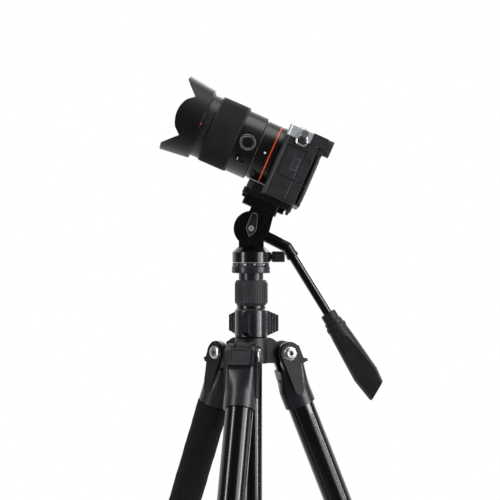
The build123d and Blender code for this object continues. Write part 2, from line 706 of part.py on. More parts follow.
def tilt_body():
    slot = YOKE_THICK / 2 + RUN
    half = DRUM_WIDTH / 2
    neck_front = -DRUM_R / 2
    right_line = DRUM_R * HEAD_BACK
    side = Circle(DRUM_R) + make_face(Polyline(
        (neck_front, 0),
        (DRUM_R, 0),
        (DRUM_R, DRUM_R * HEAD_SHOULDER),
        (right_line, CLAMP_FLOOR),
        (neck_front, CLAMP_FLOOR),
        close=True,
    ))
    body = slab_y(side, -half, half)
    body -= block(-2 * DRUM_R, 2 * DRUM_R, -slot, slot, -2 * DRUM_R, YOKE_TOP_R + YOKE_CLEAR)
    cheek_line = Plane((CHEEK_FOOT[0], 0, CHEEK_FOOT[1])) * Rot(0, CHEEK_LEAN, 0)
    step = cheek_line * block(0, 2 * DRUM_R, -half, -half + CHEEK_STEP, -2 * DRUM_R, 3 * DRUM_R)
    return body - step - along_y(AXLE_R + SEAT, -half, half)


def tilt_axle():
    """Pin through both cheeks, with a bolt end for the lever and a flange that keeps the rosette on."""
    outer = ROSETTE_INNER + ROSETTE_THICK + RUN
    near = -DRUM_WIDTH / 2
    body = along_y(AXLE_R, near, outer)
    body += along_y(AXLE_R + AXLE_FLANGE, outer, outer + AXLE_FLANGE)
    bolt_end = near - RUN - LEVER_THICK
    body += along_y(LEVER_BOLT_R, bolt_end, near)
    return body - along_y(LEVER_BOLT_R - LEVER_BOLT_RIM, bolt_end, bolt_end + LEVER_THICK / 3)


def tilt_lock_lever():
    """Pear-shaped lever with a pointed tail, on the axle's near end."""
    tip = Pos(0, LEVER_LENGTH - LEVER_TIP_R)
    outline = make_hull((Circle(LEVER_R) + tip * Circle(LEVER_TIP_R)).edges())
    shoulder = LEVER_R * math.cos(math.radians(LEVER_TAIL_ANGLE))
    waist = -LEVER_R * math.sin(math.radians(LEVER_TAIL_ANGLE))
    outline += make_face(Polyline((-shoulder, waist), (shoulder, waist), (0, -LEVER_TAIL), close=True))
    face = -DRUM_WIDTH / 2 - RUN
    outer = face - LEVER_THICK
    lever = slab_y(outline, outer, face)
    lever -= slab_y(tip * Circle(LEVER_TIP_R - LEVER_DISH_RIM), outer, outer + LEVER_DISH)
    return lever - along_y(LEVER_BOLT_R + PIN_RUN, outer, face)


def handle_arm():
    """Rosette eye on the axle and a cast arm that turns down into the bar's socket."""
    eye = along_y(ROSETTE_R, ROSETTE_INNER, ROSETTE_INNER + ROSETTE_THICK)
    start = Pos(0, HANDLE_PLANE, 0)
    bend = bend_point()
    root = Pos(0, 0, AXLE_R + AXLE_FLANGE + RUN)
    taper = loft([root * Circle(ARM_ROOT_R), Pos(0, 0, ARM_LENGTH) * Circle(ARM_R)])
    along = Rot(0, ARM_DROP, 0) * Rot(0, 90, 0) * taper
    elbow = Pos(bend) * Sphere(ARM_R)
    socket = along_x(ARM_R, 0, BAR_SOCKET)
    collar = along_x(ARM_R + COLLAR_LIP, BAR_SOCKET - COLLAR_LENGTH, BAR_SOCKET)
    body = eye + start * along + elbow + Pos(bend) * Rot(0, BAR_DROP, 0) * (socket + collar)
    body -= along_y(AXLE_R + PIN_RUN, 0, 2 * HANDLE_PLANE)
    return body - Pos(bend) * Rot(0, BAR_DROP, 0) * along_x(BAR_R + SEAT, 2.0, BAR_SOCKET)


def bend_point():
    drop = math.radians(ARM_DROP)
    return Vector(ARM_LENGTH * math.cos(drop), HANDLE_PLANE, -ARM_LENGTH * math.sin(drop))


def on_bar(piece):
    """Places a piece whose +X runs down the handle bar from the bend."""
    return Pos(bend_point()) * Rot(0, BAR_DROP, 0) * piece


def handle_bar():
    return on_bar(along_x(BAR_R, 2.0 + SEAT, BAR_LENGTH + GRIP_INSERT))


def handle_grip():
    """Tapered grip with a ringed collar, two flattened sides and a slanted end."""
    start, end = BAR_LENGTH, BAR_LENGTH + GRIP_LENGTH
    ring_foot = start + GRIP_NECK_LENGTH
    body = revolve(Plane.XZ * make_face(Polyline(
        (0, start),
        (GRIP_NECK_R - GRIP_EDGE, start),
        (GRIP_NECK_R, start + GRIP_EDGE),
        (GRIP_NECK_R, ring_foot),
        (GRIP_NECK_R + GRIP_STEP, ring_foot + GRIP_SLOPE),
        (GRIP_NECK_R + GRIP_STEP, ring_foot + GRIP_RING - GRIP_SLOPE),
        (GRIP_NECK_R + 2 * GRIP_STEP, ring_foot + GRIP_RING),
        (GRIP_NECK_R + 2 * GRIP_STEP, ring_foot + GRIP_RING + GRIP_SECOND_RING),
        (GRIP_R - GRIP_EDGE, ring_foot + GRIP_RING + GRIP_SECOND_RING + GRIP_SLOPE),
        (GRIP_R, start + GRIP_FLAT_START),
        (GRIP_END_R, end - GRIP_TAIL),
        (GRIP_END_R - GRIP_TAPER, end + GRIP_TAPER),
        (GRIP_END_R - 2 * GRIP_TAPER, end + 3 * GRIP_TAPER),
        (0, end + 3 * GRIP_TAPER),
        close=True,
    )), Axis.Z)
    body -= cylinder(BAR_R + SEAT, start, start + GRIP_INSERT + SEAT)
    for side in (-1, 1):
        flat = block(-GRIP_LENGTH, GRIP_LENGTH, 0, GRIP_LENGTH, 0, 2 * GRIP_LENGTH)
        face = Pos(0, side * GRIP_FLAT, start + GRIP_FLAT_START) * Rot(side * GRIP_FLAT_LEAN, 0, 0)
        body -= face * Rot(0, 0, 90 - 90 * side) * flat
    body -= Pos(0, 0, end) * Rot(0, GRIP_SLANT, 0) * cylinder(3 * GRIP_END_R, 0, GRIP_LENGTH)
    return on_bar(Rot(0, 90, 0) * body)


def clamp_rails():
    """The dovetail that the plate's foot fills, as an outline in (y, z)."""
    top, bottom = RAIL_TOP_GAP / 2, RAIL_TOP_GAP / 2 + RAIL_SLANT
    return top, bottom


def dovetail(front, back, grow, bottom, top):
    """Bar of dovetail section along X, wider at its foot."""
    half_top, half_bottom = clamp_rails()
    outline = make_face(Polyline(
        (-half_bottom - grow, bottom),
        (half_bottom + grow, bottom),
        (half_top + grow, top),
        (-half_top - grow, top),
        close=True,
    ))
    return extrude(Plane((front, 0, 0), x_dir=(0, 1, 0), z_dir=(1, 0, 0)) * outline, back - front)


def qr_clamp():
    front = CLAMP_BACK - CLAMP_LENGTH
    half = CLAMP_WIDTH / 2
    top = RAIL_BASE + RAIL_HEIGHT
    body = block(front, CLAMP_BACK, -half, half, CLAMP_FLOOR, top)
    body -= dovetail(front - 1, CLAMP_BACK + 1, 0, RAIL_BASE, top + 0.001)
    hole = along_y(PAN_KNOB_SHAFT_R + PIN_RUN, half - CLAMP_SHAFT_HOLE, half + 1)
    body -= Pos((front + CLAMP_BACK) / 2, 0, CLAMP_FLOOR + CLAMP_KNOB_LEVEL) * hole
    return chamfer(body.edges().filter_by(Axis.Z), 2.0)


def qr_clamp_knob():
    start = CLAMP_WIDTH / 2 + RUN
    knob = cylinder(CLAMP_KNOB_R, start, start + CLAMP_KNOB_LENGTH)
    knob = chamfer(knob.edges().filter_by(GeomType.CIRCLE), CLAMP_KNOB_EDGE)
    knob = fluted(
        knob, CLAMP_KNOB_FLUTES, CLAMP_KNOB_R + CLAMP_FLUTE_OUT, CLAMP_FLUTE_R,
        start + CLAMP_FLUTE_FOOT, start + CLAMP_KNOB_LENGTH,
    )
    knob += cylinder(PAN_KNOB_SHAFT_R, start - CLAMP_SHAFT_HOLE, start)
    middle = CLAMP_BACK - CLAMP_LENGTH / 2
    return Pos(middle, 0, CLAMP_FLOOR + CLAMP_KNOB_LEVEL) * Rot(-90, 0, 0) * knob


def qr_plate():
    half = PLATE_WIDTH / 2
    body = block(PLATE_FRONT, PLATE_BACK, -half, half, PLATE_BOTTOM, PLATE_TOP)
    body = chamfer(body.edges().filter_by(Axis.Z), PLATE_CORNER)
    for i in range(PLATE_GROOVES):
        level = PLATE_BOTTOM + PLATE_THICK * (i + 1) / (PLATE_GROOVES + 1)
        low, high = level - PLATE_GROOVE / 2, level + PLATE_GROOVE / 2
        core_front, core_back = PLATE_FRONT + PLATE_GROOVE, PLATE_BACK - PLATE_GROOVE
        core_half = half - PLATE_GROOVE
        ring = block(PLATE_FRONT, PLATE_BACK, -half, half, low, high)
        body -= ring - block(core_front, core_back, -core_half, core_half, low, high)
    foot_front, foot_back = PLATE_FRONT + PLATE_FOOT_FRONT, PLATE_BACK - PLATE_FOOT_BACK
    body += dovetail(foot_front, foot_back, -RUN, RAIL_BASE + RUN, PLATE_BOTTOM)
    for x in (PLATE_FRONT + STOP_FRONT, PLATE_BACK - STOP_BACK):
        for y in (-STOP_SIDE, STOP_SIDE):
            body += Pos(x, y, 0) * cylinder(STOP_R, PLATE_BOTTOM - STOP_DROP, PLATE_BOTTOM)
    body -= cylinder(SCREW_HEAD_R + RUN, RAIL_BASE, screw_head_top() + RUN)
    return body - cylinder(SCREW_R + PIN_RUN + RUN, RAIL_BASE, PLATE_TOP)


def screw_head_top():
    return RAIL_BASE + SCREW_HEAD_GAP + SCREW_HEAD_THICK


def camera_screw():
    bottom = RAIL_BASE + 1.0
    body = cylinder(SCREW_HEAD_R, bottom, screw_head_top())
    body += cylinder(SCREW_R, screw_head_top(), BODY_BOTTOM + SCREW_REACH)
    return body - block(
        -SCREW_HEAD_R, SCREW_HEAD_R, -SCREW_SLOT / 2, SCREW_SLOT / 2, bottom, bottom + SCREW_SLOT_DEPTH,
    )


# Camera, in the tilt frame

def rear_frame(left, right, base, top):
    """A part of the raised frame round the monitor."""
    return block(BODY_BACK - BODY_CORNER, BODY_REAR_LIP, left, right, base, top)


def camera_body():
    wide = block(BODY_FRONT, BODY_BACK, BODY_LEFT, BODY_RIGHT, BODY_BOTTOM, COVER_BASE)
    wide = fillet(wide.edges().filter_by(Axis.Z), BODY_CORNER)
    wide = chamfer(wide.edges().group_by(Axis.Z)[0], BODY_EDGE)
    hand_grip = block(GRIP_FRONT, BODY_FRONT + GRIP_ROOT, GRIP_LEFT, BODY_RIGHT, BODY_BOTTOM, COVER_BASE)
    hand_grip = fillet(hand_grip.edges().filter_by(Axis.Z).group_by(Axis.X)[0], GRIP_ROUND)
    hand_grip = chamfer(hand_grip.edges().group_by(Axis.Z)[0], BODY_EDGE)
    lip_top = BODY_BOTTOM + MONITOR_BASE - RUN
    brow_base = BODY_BOTTOM + MONITOR_BASE + MONITOR_HEIGHT + RUN
    frame_left, frame_right = BODY_LEFT + REAR_INSET, BODY_RIGHT - REAR_INSET_RIGHT
    thumb_left = frame_left + MONITOR_WIDTH + 2 * RUN
    body = wide + hand_grip
    body += rear_frame(frame_left, frame_right, BODY_BOTTOM + BODY_EDGE, lip_top)
    body += rear_frame(frame_left, frame_right, brow_base, COVER_BASE)
    body += rear_frame(thumb_left, frame_right, BODY_BOTTOM + BODY_EDGE, COVER_BASE)
    finder_left = BODY_LEFT + FINDER_INSET
    body += block(FINDER_FRONT + SEAT, BODY_REAR_LIP, finder_left, FINDER_RIGHT, COVER_BASE, BODY_TOP)
    mouth = along_x(MOUNT_BORE_R, BODY_FRONT, BODY_FRONT + MOUNT_DEPTH)
    body -= Pos(0, 0, LENS_Z) * mouth
    seat_half = (SENSOR_SIZE[0] / 2 + SEAT, SENSOR_SIZE[1] / 2 + SEAT)
    seat_back = BODY_FRONT + MOUNT_DEPTH + SENSOR_THICK / 2 + SEAT
    body -= block(0, seat_back, -seat_half[0], seat_half[0], LENS_Z - seat_half[1], LENS_Z + seat_half[1])
    body -= cylinder(SCREW_R + PIN_RUN, BODY_BOTTOM, BODY_BOTTOM + SCREW_REACH + 1.0)
    body -= port_door_pocket()
    body -= battery_door_pocket()
    for x, y, radius in dial_spindles():
        body -= Pos(x, y, 0) * cylinder(radius, COVER_BASE - DIAL_SPINDLE_LENGTH, COVER_BASE)
    return body


def dial_spindles():
    """Sockets under the top cover: place and radius of each turning or pressing piece."""
    spindle = DIAL_SPINDLE_R + RUN
    return [(*MODE_DIAL_PLACE, spindle), (*CONTROL_DIAL_PLACE, spindle), (*SHUTTER_PLACE, spindle)]


def camera_top_cover():
    grow = TOP_COVER_OVERHANG
    base = COVER_BASE + SEAT
    main = block(BODY_FRONT - grow, FINDER_FRONT, BODY_LEFT - grow, BODY_RIGHT, base, BODY_TOP)
    main = fillet(main.edges().filter_by(Axis.Z).group_by(Axis.X)[0], BODY_CORNER - COVER_EDGE)
    main = chamfer(main.edges().group_by(Axis.Z)[-1], COVER_EDGE)
    rear_right = BODY_RIGHT - REAR_INSET_RIGHT
    rear_front, rear_back = FINDER_FRONT - BODY_CORNER, BODY_REAR_LIP - COVER_EDGE
    rear = block(rear_front, rear_back, FINDER_RIGHT + SEAT, rear_right, base, BODY_TOP)
    rear = chamfer(rear.edges().group_by(Axis.Z)[-1], COVER_EDGE)
    deck = BODY_TOP - GRIP_DECK_DROP
    over_grip = block(GRIP_FRONT + COVER_EDGE, BODY_FRONT + BODY_CORNER, GRIP_LEFT, BODY_RIGHT, base, deck)
    over_grip = fillet(over_grip.edges().filter_by(Axis.Z).group_by(Axis.X)[0], GRIP_ROUND - COVER_EDGE)
    over_grip = chamfer(over_grip.edges().group_by(Axis.Z)[-1], COVER_EDGE)
    body = main + rear + over_grip
    x, y = SHOE_PLACE
    half_x, half_y = SHOE_SIZE[0] / 2, SHOE_SIZE[1] / 2
    floor = BODY_TOP - SHOE_DEPTH
    body -= block(x - half_x, x + half_x, y - half_y, y + half_y, floor, BODY_TOP)
    for px, py, radius in dial_spindles():
        body -= Pos(px, py, 0) * cylinder(radius, base, BODY_TOP)
    sx, sy = SHUTTER_PLACE
    body -= Pos(sx, sy, 0) * cylinder(SHUTTER_R + RUN, deck - SHUTTER_SKIRT - SHUTTER_TRAVEL, BODY_TOP)
    lug_z = BODY_TOP - LUG_BELOW_TOP
    hole_r = LUG_PIN_R + SEAT
    body -= Pos(LUG_PLACE, 0, lug_z) * along_y(hole_r, BODY_LEFT - 1, BODY_LEFT + LUG_HOLE_DEPTH)
    return body - Pos(LUG_PLACE, 0, lug_z) * along_y(hole_r, BODY_RIGHT - LUG_HOLE_DEPTH, BODY_RIGHT + 1)


def dial(radius, height, place, ribs):
    body = cylinder(radius, BODY_TOP + RUN, BODY_TOP + RUN + height)
    body = chamfer(body.edges().filter_by(GeomType.CIRCLE).group_by(Axis.Z)[-1], DIAL_EDGE)
    rib_top = BODY_TOP + RUN + height - DIAL_RIB_HEAD
    body = fluted(body, ribs, radius + DIAL_RIB_OUT, DIAL_RIB_R, BODY_TOP, rib_top)
    body += cylinder(DIAL_SPINDLE_R, COVER_BASE - DIAL_SPINDLE_LENGTH + RUN, BODY_TOP + RUN)
    return Pos(*place, 0) * body


def shutter_button():
    deck = BODY_TOP - GRIP_DECK_DROP
    body = cylinder(SHUTTER_R, deck - SHUTTER_SKIRT + RUN, deck + SHUTTER_RISE)
    body = fillet(body.edges().filter_by(GeomType.CIRCLE).group_by(Axis.Z)[-1], SHUTTER_ROUND)
    body += cylinder(DIAL_SPINDLE_R, COVER_BASE - DIAL_SPINDLE_LENGTH + RUN + SHUTTER_TRAVEL, deck)
    return Pos(*SHUTTER_PLACE, 0) * body


def port_door_pocket():
    base = BODY_BOTTOM + DOOR_BASE
    return block(
        DOOR_FRONT - RUN, DOOR_FRONT + DOOR_LENGTH + RUN,
        BODY_LEFT - 1, BODY_LEFT + DOOR_THICK + DOOR_POCKET,
        base - RUN, base + DOOR_HEIGHT + RUN,
    )


def port_hinge():
    """Place of the port door's hinge line in (x, y)."""
    return DOOR_FRONT + DOOR_THICK / 2, BODY_LEFT + DOOR_THICK / 2


def port_door():
    hinge_x, hinge_y = port_hinge()
    base, top = BODY_BOTTOM + DOOR_BASE, BODY_BOTTOM + DOOR_BASE + DOOR_HEIGHT
    leaf = block(hinge_x, DOOR_FRONT + DOOR_LENGTH, BODY_LEFT, BODY_LEFT + DOOR_THICK, base, top)
    return leaf + Pos(hinge_x, hinge_y, 0) * cylinder(DOOR_THICK / 2, base, top)


def battery_door_pocket():
    half_x, half_y = BATTERY_DOOR_SIZE[0] / 2 + RUN, BATTERY_DOOR_SIZE[1] / 2 + RUN
    x, y = BATTERY_DOOR_CENTRE
    top = BODY_BOTTOM + DOOR_THICK + DOOR_POCKET
    return block(x - half_x, x + half_x, y - half_y, y + half_y, BODY_BOTTOM - 1, top)


def battery_hinge():
    """Place of the battery door's hinge line in (y, z)."""
    outer = BATTERY_DOOR_CENTRE[1] + BATTERY_DOOR_SIZE[1] / 2
    return outer - DOOR_THICK / 2, BODY_BOTTOM + DOOR_THICK / 2


def battery_door():
    hinge_y, hinge_z = battery_hinge()
    x, y = BATTERY_DOOR_CENTRE
    left, right = x - BATTERY_DOOR_SIZE[0] / 2, x + BATTERY_DOOR_SIZE[0] / 2
    inner = y - BATTERY_DOOR_SIZE[1] / 2
    leaf = block(left, right, inner, hinge_y, BODY_BOTTOM, BODY_BOTTOM + DOOR_THICK)
    return leaf + Pos(0, hinge_y, hinge_z) * along_x(DOOR_THICK / 2, left, right)


def image_sensor():
    half_y, half_z = SENSOR_SIZE[0] / 2, SENSOR_SIZE[1] / 2
    back = BODY_FRONT + MOUNT_DEPTH + SENSOR_THICK / 2
    return block(back - SENSOR_THICK, back, -half_y, half_y, LENS_Z - half_z, LENS_Z + half_z)


def monitor_hinge():
    """Place of the monitor's hinge line in (x, y)."""
    return BODY_BACK + RUN + MONITOR_THICK / 2, BODY_LEFT + REAR_INSET + MONITOR_THICK / 2


def camera_monitor():
    hinge_x, hinge_y = monitor_hinge()
    half = MONITOR_THICK / 2
    base = BODY_BOTTOM + MONITOR_BASE
    top = base + MONITOR_HEIGHT
    right = BODY_LEFT + REAR_INSET + MONITOR_WIDTH
    body = block(hinge_x - half, hinge_x + half, hinge_y, right, base, top)
    body = chamfer(body.edges().filter_by(Axis.Z).group_by(Axis.Y)[-1], MONITOR_EDGE)
    body += Pos(hinge_x, hinge_y, 0) * cylinder(half, base, top)
    glass_left, glass_right = hinge_y + MONITOR_RIM, right - MONITOR_RIM
    glass_base, glass_top = base + MONITOR_RIM, top - MONITOR_RIM
    face = hinge_x + half
    return body - block(face - MONITOR_RECESS, face, glass_left, glass_right, glass_base, glass_top)


def eyecup():
    left = BODY_LEFT + EYECUP_INSET
    base = BODY_TOP - EYECUP_HEIGHT
    start = BODY_REAR_LIP + SEAT
    body = block(start, start + EYECUP_REACH, left, left + EYECUP_WIDTH, base, BODY_TOP)
    body = fillet(body.edges().filter_by(Axis.X), EYECUP_ROUND)
    wall = EYECUP_WALL
    right = left + EYECUP_WIDTH - wall
    floor, end = start + EYECUP_FLOOR, start + EYECUP_REACH
    window = block(floor, end, left + wall, right, base + wall, BODY_TOP - wall)
    return body - fillet(window.edges().filter_by(Axis.X), EYECUP_FLOOR)


def strap_lugs():
    """A stud in each end of the top cover with a wire ring hung through it."""
    lug_z = BODY_TOP - LUG_BELOW_TOP
    solids = []
    for side, face in ((-1, BODY_LEFT - TOP_COVER_OVERHANG), (1, BODY_RIGHT)):
        ball_span = sorted((face + side * SEAT, face + side * LUG_REACH))
        pin_span = sorted((face - side * LUG_PIN_LENGTH, face + side * SEAT))
        stud = along_y(LUG_R, *ball_span) + along_y(LUG_PIN_R, *pin_span)
        ring_y = face + side * (LUG_REACH / 2 + SEAT)
        wire_hole = Rot(0, 90, 0) * Pos(0, ring_y, 0) * Cylinder(RING_WIRE_R + RING_SLACK, 4 * LUG_R)
        stud -= Pos(0, 0, -LUG_R / 2) * wire_hole
        solids.append(Pos(LUG_PLACE, 0, lug_z) * stud)
    return solids


def strap_rings():
    lug_z = BODY_TOP - LUG_BELOW_TOP
    rings = []
    for side, face in ((-1, BODY_LEFT - TOP_COVER_OVERHANG), (1, BODY_RIGHT)):
        ring_y = face + side * (LUG_REACH / 2 + SEAT)
        top = -LUG_R / 2
        waist = top - RING_DROP * RING_WAIST
        foot_half = RING_WIDTH / 2 - RING_FOOT_IN
        path = FilletPolyline(
            (-RING_NECK, top), (-RING_WIDTH / 2, waist), (-foot_half, top - RING_DROP),
            (foot_half, top - RING_DROP), (RING_WIDTH / 2, waist), (RING_NECK, top),
            radius=RING_BEND, close=True,
        )
        plane = Plane((0, 0, 0), x_dir=(1, 0, 0), z_dir=(0, -1, 0))
        wire = plane * path
        start = Plane(wire @ 0, z_dir=wire % 0)
        ring = sweep(start * Circle(RING_WIRE_R), path=wire)
        rings.append(Pos(LUG_PLACE, ring_y, lug_z) * ring)
    return rings


# Lens, on its axis in the tilt frame

def lens_barrel():
    focus_seat = FOCUS_R - FOCUS_WALL - RUN
    filter_floor = LENS_FRONT + FILTER_DEPTH
    glass_seat = filter_floor + GLASS_THICK
    body = lens_turned([
        (LENS_REAR, LENS_BORE_R),
        (LENS_REAR, LENS_REAR_R),
        (LENS_GROOVE + LENS_GROOVE_WIDTH, LENS_REAR_R),
        (LENS_GROOVE + LENS_GROOVE_WIDTH, LENS_REAR_R - LENS_GROOVE_DEPTH),
        (LENS_GROOVE, LENS_REAR_R - LENS_GROOVE_DEPTH),
        (LENS_GROOVE - LENS_RAMP, LENS_MID_R),
        (LENS_MID_FRONT, LENS_MID_R),
        (LENS_MID_FRONT, focus_seat),
        (FOCUS_FRONT, focus_seat),
        (FOCUS_FRONT, LENS_FRONT_R),
        (LENS_FRONT, LENS_FRONT_R),
        (LENS_FRONT, FILTER_R),
        (filter_floor, FILTER_R),
        (filter_floor, GLASS_R + SEAT),
        (glass_seat, GLASS_R + SEAT),
        (glass_seat, GLASS_R - GLASS_LEDGE),
        (LENS_REAR - LENS_BORE_LENGTH, LENS_BORE_R),
    ])
    button_floor = LENS_MID_R - BUTTON_DEPTH - BUTTON_TRAVEL
    body -= lens_side(BUTTON_STATION, 0) * cylinder(BUTTON_R + RUN, button_floor, 2 * LENS_MID_R)
    slot = Pos(0, 0, LENS_MID_R) * Box(SWITCH_SLOT[0], SWITCH_SLOT[1], 2 * SWITCH_DEPTH)
    slot = fillet(slot.edges().filter_by(Axis.Z), SWITCH_ROUND)
    return body - lens_side(SWITCH_STATION, SWITCH_BELOW) * slot


def lens_side(station, below):
    """Frame on the lens axis whose +Z points out of the barrel's near side, with +X along the axis."""
    return Pos(station, 0, LENS_Z) * Rot(90 + below, 0, 0)


def focus_ring():
    body = lens_turned([
        (LENS_MID_FRONT - RUN, FOCUS_R - FOCUS_WALL),
        (LENS_MID_FRONT - RUN, FOCUS_R),
        (FOCUS_FRONT + RUN, FOCUS_R),
        (FOCUS_FRONT + RUN, FOCUS_R - FOCUS_WALL),
    ])
    return body


def lens_hood():
    inner_rear = LENS_FRONT_R + RUN
    body = lens_turned([
        (HOOD_REAR, inner_rear),
        (HOOD_REAR, HOOD_REAR_R - HOOD_EDGE),
        (HOOD_REAR - HOOD_EDGE, HOOD_REAR_R),
        (HOOD_TIP, HOOD_TIP_R),
        (HOOD_TIP, HOOD_TIP_R - HOOD_WALL),
        (LENS_FRONT - HOOD_THROAT, HOOD_REAR_R - HOOD_WALL),
        (LENS_FRONT - HOOD_LIP, inner_rear),
    ])
    ahead = HOOD_TIP - 10.0
    petal_root = HOOD_SIDE_TIP + HOOD_PETAL_CROWN
    petal_half = HOOD_NOTCH_HALF * HOOD_PETAL_TAPER
    notch = make_face(
        Polyline(
            (petal_root, petal_half), (HOOD_NOTCH, HOOD_NOTCH_HALF),
            (HOOD_TIP, HOOD_FLAT_HALF), (ahead, HOOD_FLAT_HALF),
            (ahead, -HOOD_FLAT_HALF), (HOOD_TIP, -HOOD_FLAT_HALF),
            (HOOD_NOTCH, -HOOD_NOTCH_HALF), (petal_root, -petal_half),
        )
        + ThreePointArc((petal_root, -petal_half), (HOOD_SIDE_TIP, 0), (petal_root, petal_half))
    )
    cutter = Pos(0, 0, LENS_Z) * slab_y(notch, -2 * HOOD_TIP_R, 2 * HOOD_TIP_R)
    return body - cutter


def front_element():
    """Bulging front glass, seated behind the filter thread."""
    rear = LENS_FRONT + FILTER_DEPTH + GLASS_THICK - SEAT
    front = LENS_FRONT + FILTER_DEPTH + GLASS_SUNK
    disc = lens_turned([(rear, 0), (rear, GLASS_R), (front, GLASS_R), (front, 0)])
    ball = Pos(front - GLASS_CROWN + GLASS_BULGE_R, 0, LENS_Z) * Sphere(GLASS_BULGE_R)
    return disc & ball


def hold_button():
    body = cylinder(BUTTON_R, LENS_MID_R - BUTTON_DEPTH, LENS_MID_R + BUTTON_RISE)
    body = chamfer(body.edges().filter_by(GeomType.CIRCLE).group_by(Axis.Z)[-1], BUTTON_EDGE)
    return lens_side(BUTTON_STATION, 0) * body


def lens_switch():
    start = -SWITCH_SLOT[0] / 2 + SWITCH_END + SWITCH_KNOB[0] / 2
    floor = LENS_MID_R - SWITCH_DEPTH + RUN
    knob = Pos(start, 0, floor + SWITCH_RISE / 2) * Box(SWITCH_KNOB[0], SWITCH_KNOB[1], SWITCH_RISE)
    return lens_side(SWITCH_STATION, SWITCH_BELOW) * knob


# Assembly

def on_leg(azimuth, piece):
    place = Rot(0, 0, azimuth) * Pos(PIN_CIRCLE, 0, PIN_HEIGHT)
    return place * Rot(0, -LEG_SPLAY, 0) * piece


def tilted(piece):
    return Pos(0, 0, PIVOT_HEIGHT) * Rot(0, TILT, 0) * piece


def untilted(piece):
    """Pieces drawn about the tilt axis but not carried round by the tilt."""
    return Pos(0, 0, PIVOT_HEIGHT) * piece


def leg_nodes():
    nodes = {}
    for name, azimuth in LEG_AZIMUTHS.items():
        pieces = {
            "leg_casting": leg_casting(),
            "leg_latch": leg_latch(),
            "upper_tube": tube(UPPER_TUBE_R, UPPER_TUBE_END, UPPER_TUBE_TOP - SEAT, grooves=True),
            "upper_twist_lock": twist_lock(UPPER_TUBE_R, MIDDLE_TUBE_R, UPPER_TUBE_END),
            "middle_tube": tube(MIDDLE_TUBE_R, MIDDLE_TUBE_END, SECTION_TOP),
            "lower_twist_lock": twist_lock(MIDDLE_TUBE_R, LOWER_TUBE_R, MIDDLE_TUBE_END),
            "lower_tube": tube(LOWER_TUBE_R, LOWER_TUBE_END + SEAT, SECTION_TOP),
            "foot": foot(),
        }
        nodes |= {f"{piece}_{name}": on_leg(azimuth, solid) for piece, solid in pieces.items()}
    nodes["foam_grip_left"] = on_leg(LEG_AZIMUTHS["left"], foam_grip())
    return nodes


def camera_nodes():
    pieces = {
        "tilt_body": tilt_body(),
        "qr_clamp": qr_clamp(),
        "qr_clamp_knob": qr_clamp_knob(),
        "qr_plate": qr_plate(),
        "camera_screw": camera_screw(),
        "camera_body": camera_body(),
        "camera_top_cover": camera_top_cover(),
        "camera_monitor": camera_monitor(),
        "eyecup": eyecup(),
        "mode_dial": dial(MODE_DIAL_R, MODE_DIAL_HEIGHT, MODE_DIAL_PLACE, DIAL_RIBS),
        "control_dial": dial(CONTROL_DIAL_R, CONTROL_DIAL_HEIGHT, CONTROL_DIAL_PLACE, DIAL_RIBS),
        "shutter_button": shutter_button(),
        "port_door": port_door(),
        "battery_door": battery_door(),
        "image_sensor": image_sensor(),
        "lens_barrel": lens_barrel(),
        "focus_ring": focus_ring(),
        "lens_hood": lens_hood(),
        "front_element": front_element(),
        "hold_button": hold_button(),
        "lens_switch": lens_switch(),
    }
    nodes = {name: tilted(solid) for name, solid in pieces.items()}
    nodes["strap_lugs"] = Compound([tilted(s) for s in strap_lugs() + strap_rings()])
    return nodes


def assemble():
    bolts = [on_leg(azimuth, hinge_bolts()) for azimuth in LEG_AZIMUTHS.values()]
    lever = untilted(Rot(0, LEVER_LEAN, 0) * tilt_lock_lever())
    return {
        "canopy": canopy(),
        "leg_hinge_bolts": Compound(bolts),
        **leg_nodes(),
        "column_wing_lock": column_wing_lock(),
        "column_tube": column_tube(),
        "column_twist_collar": column_twist_collar(),
        "head_base": head_base(),
        "pan_base": pan_base(),
        "pan_lock_knob": pan_lock_knob(),
        "tilt_axle": untilted(tilt_axle()),
        "tilt_lock_lever": lever,
        "handle_arm": untilted(handle_arm()),
        "handle_bar": untilted(handle_bar()),
        "handle_grip": untilted(handle_grip()),
        **camera_nodes(),
    }


def main():
    os.makedirs("parts", exist_ok=True)
    for name, shape in assemble().items():
        export_step(shape, f"parts/{name}.step")
    print("pin height", round(PIN_HEIGHT, 3), "tilt axis height", round(PIVOT_HEIGHT, 3))


main()
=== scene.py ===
import bpy
import bmesh
import json
import math
from mathutils import Matrix, Vector
from mathutils.bvhtree import BVHTree


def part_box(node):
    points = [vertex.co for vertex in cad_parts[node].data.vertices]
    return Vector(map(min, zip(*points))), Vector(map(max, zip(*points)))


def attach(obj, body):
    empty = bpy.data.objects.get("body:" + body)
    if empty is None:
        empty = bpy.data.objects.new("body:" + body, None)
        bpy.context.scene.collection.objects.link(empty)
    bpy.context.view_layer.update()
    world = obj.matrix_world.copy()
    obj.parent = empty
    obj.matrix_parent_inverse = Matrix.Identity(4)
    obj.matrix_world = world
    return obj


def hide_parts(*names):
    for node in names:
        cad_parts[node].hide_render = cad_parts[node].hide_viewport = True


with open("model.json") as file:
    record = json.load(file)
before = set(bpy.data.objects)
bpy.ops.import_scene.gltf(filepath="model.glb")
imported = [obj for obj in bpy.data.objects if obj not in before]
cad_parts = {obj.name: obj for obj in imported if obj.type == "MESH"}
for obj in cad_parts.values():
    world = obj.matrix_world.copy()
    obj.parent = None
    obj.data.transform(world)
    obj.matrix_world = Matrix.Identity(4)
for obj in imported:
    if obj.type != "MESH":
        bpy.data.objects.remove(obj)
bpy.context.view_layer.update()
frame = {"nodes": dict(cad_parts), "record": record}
mm = 0.001
joints = {j["name"]: j for j in frame["record"]["behaviour"]["joints"]}
print("frame loaded:", len(frame["nodes"]), "nodes")


# places that the frame gives

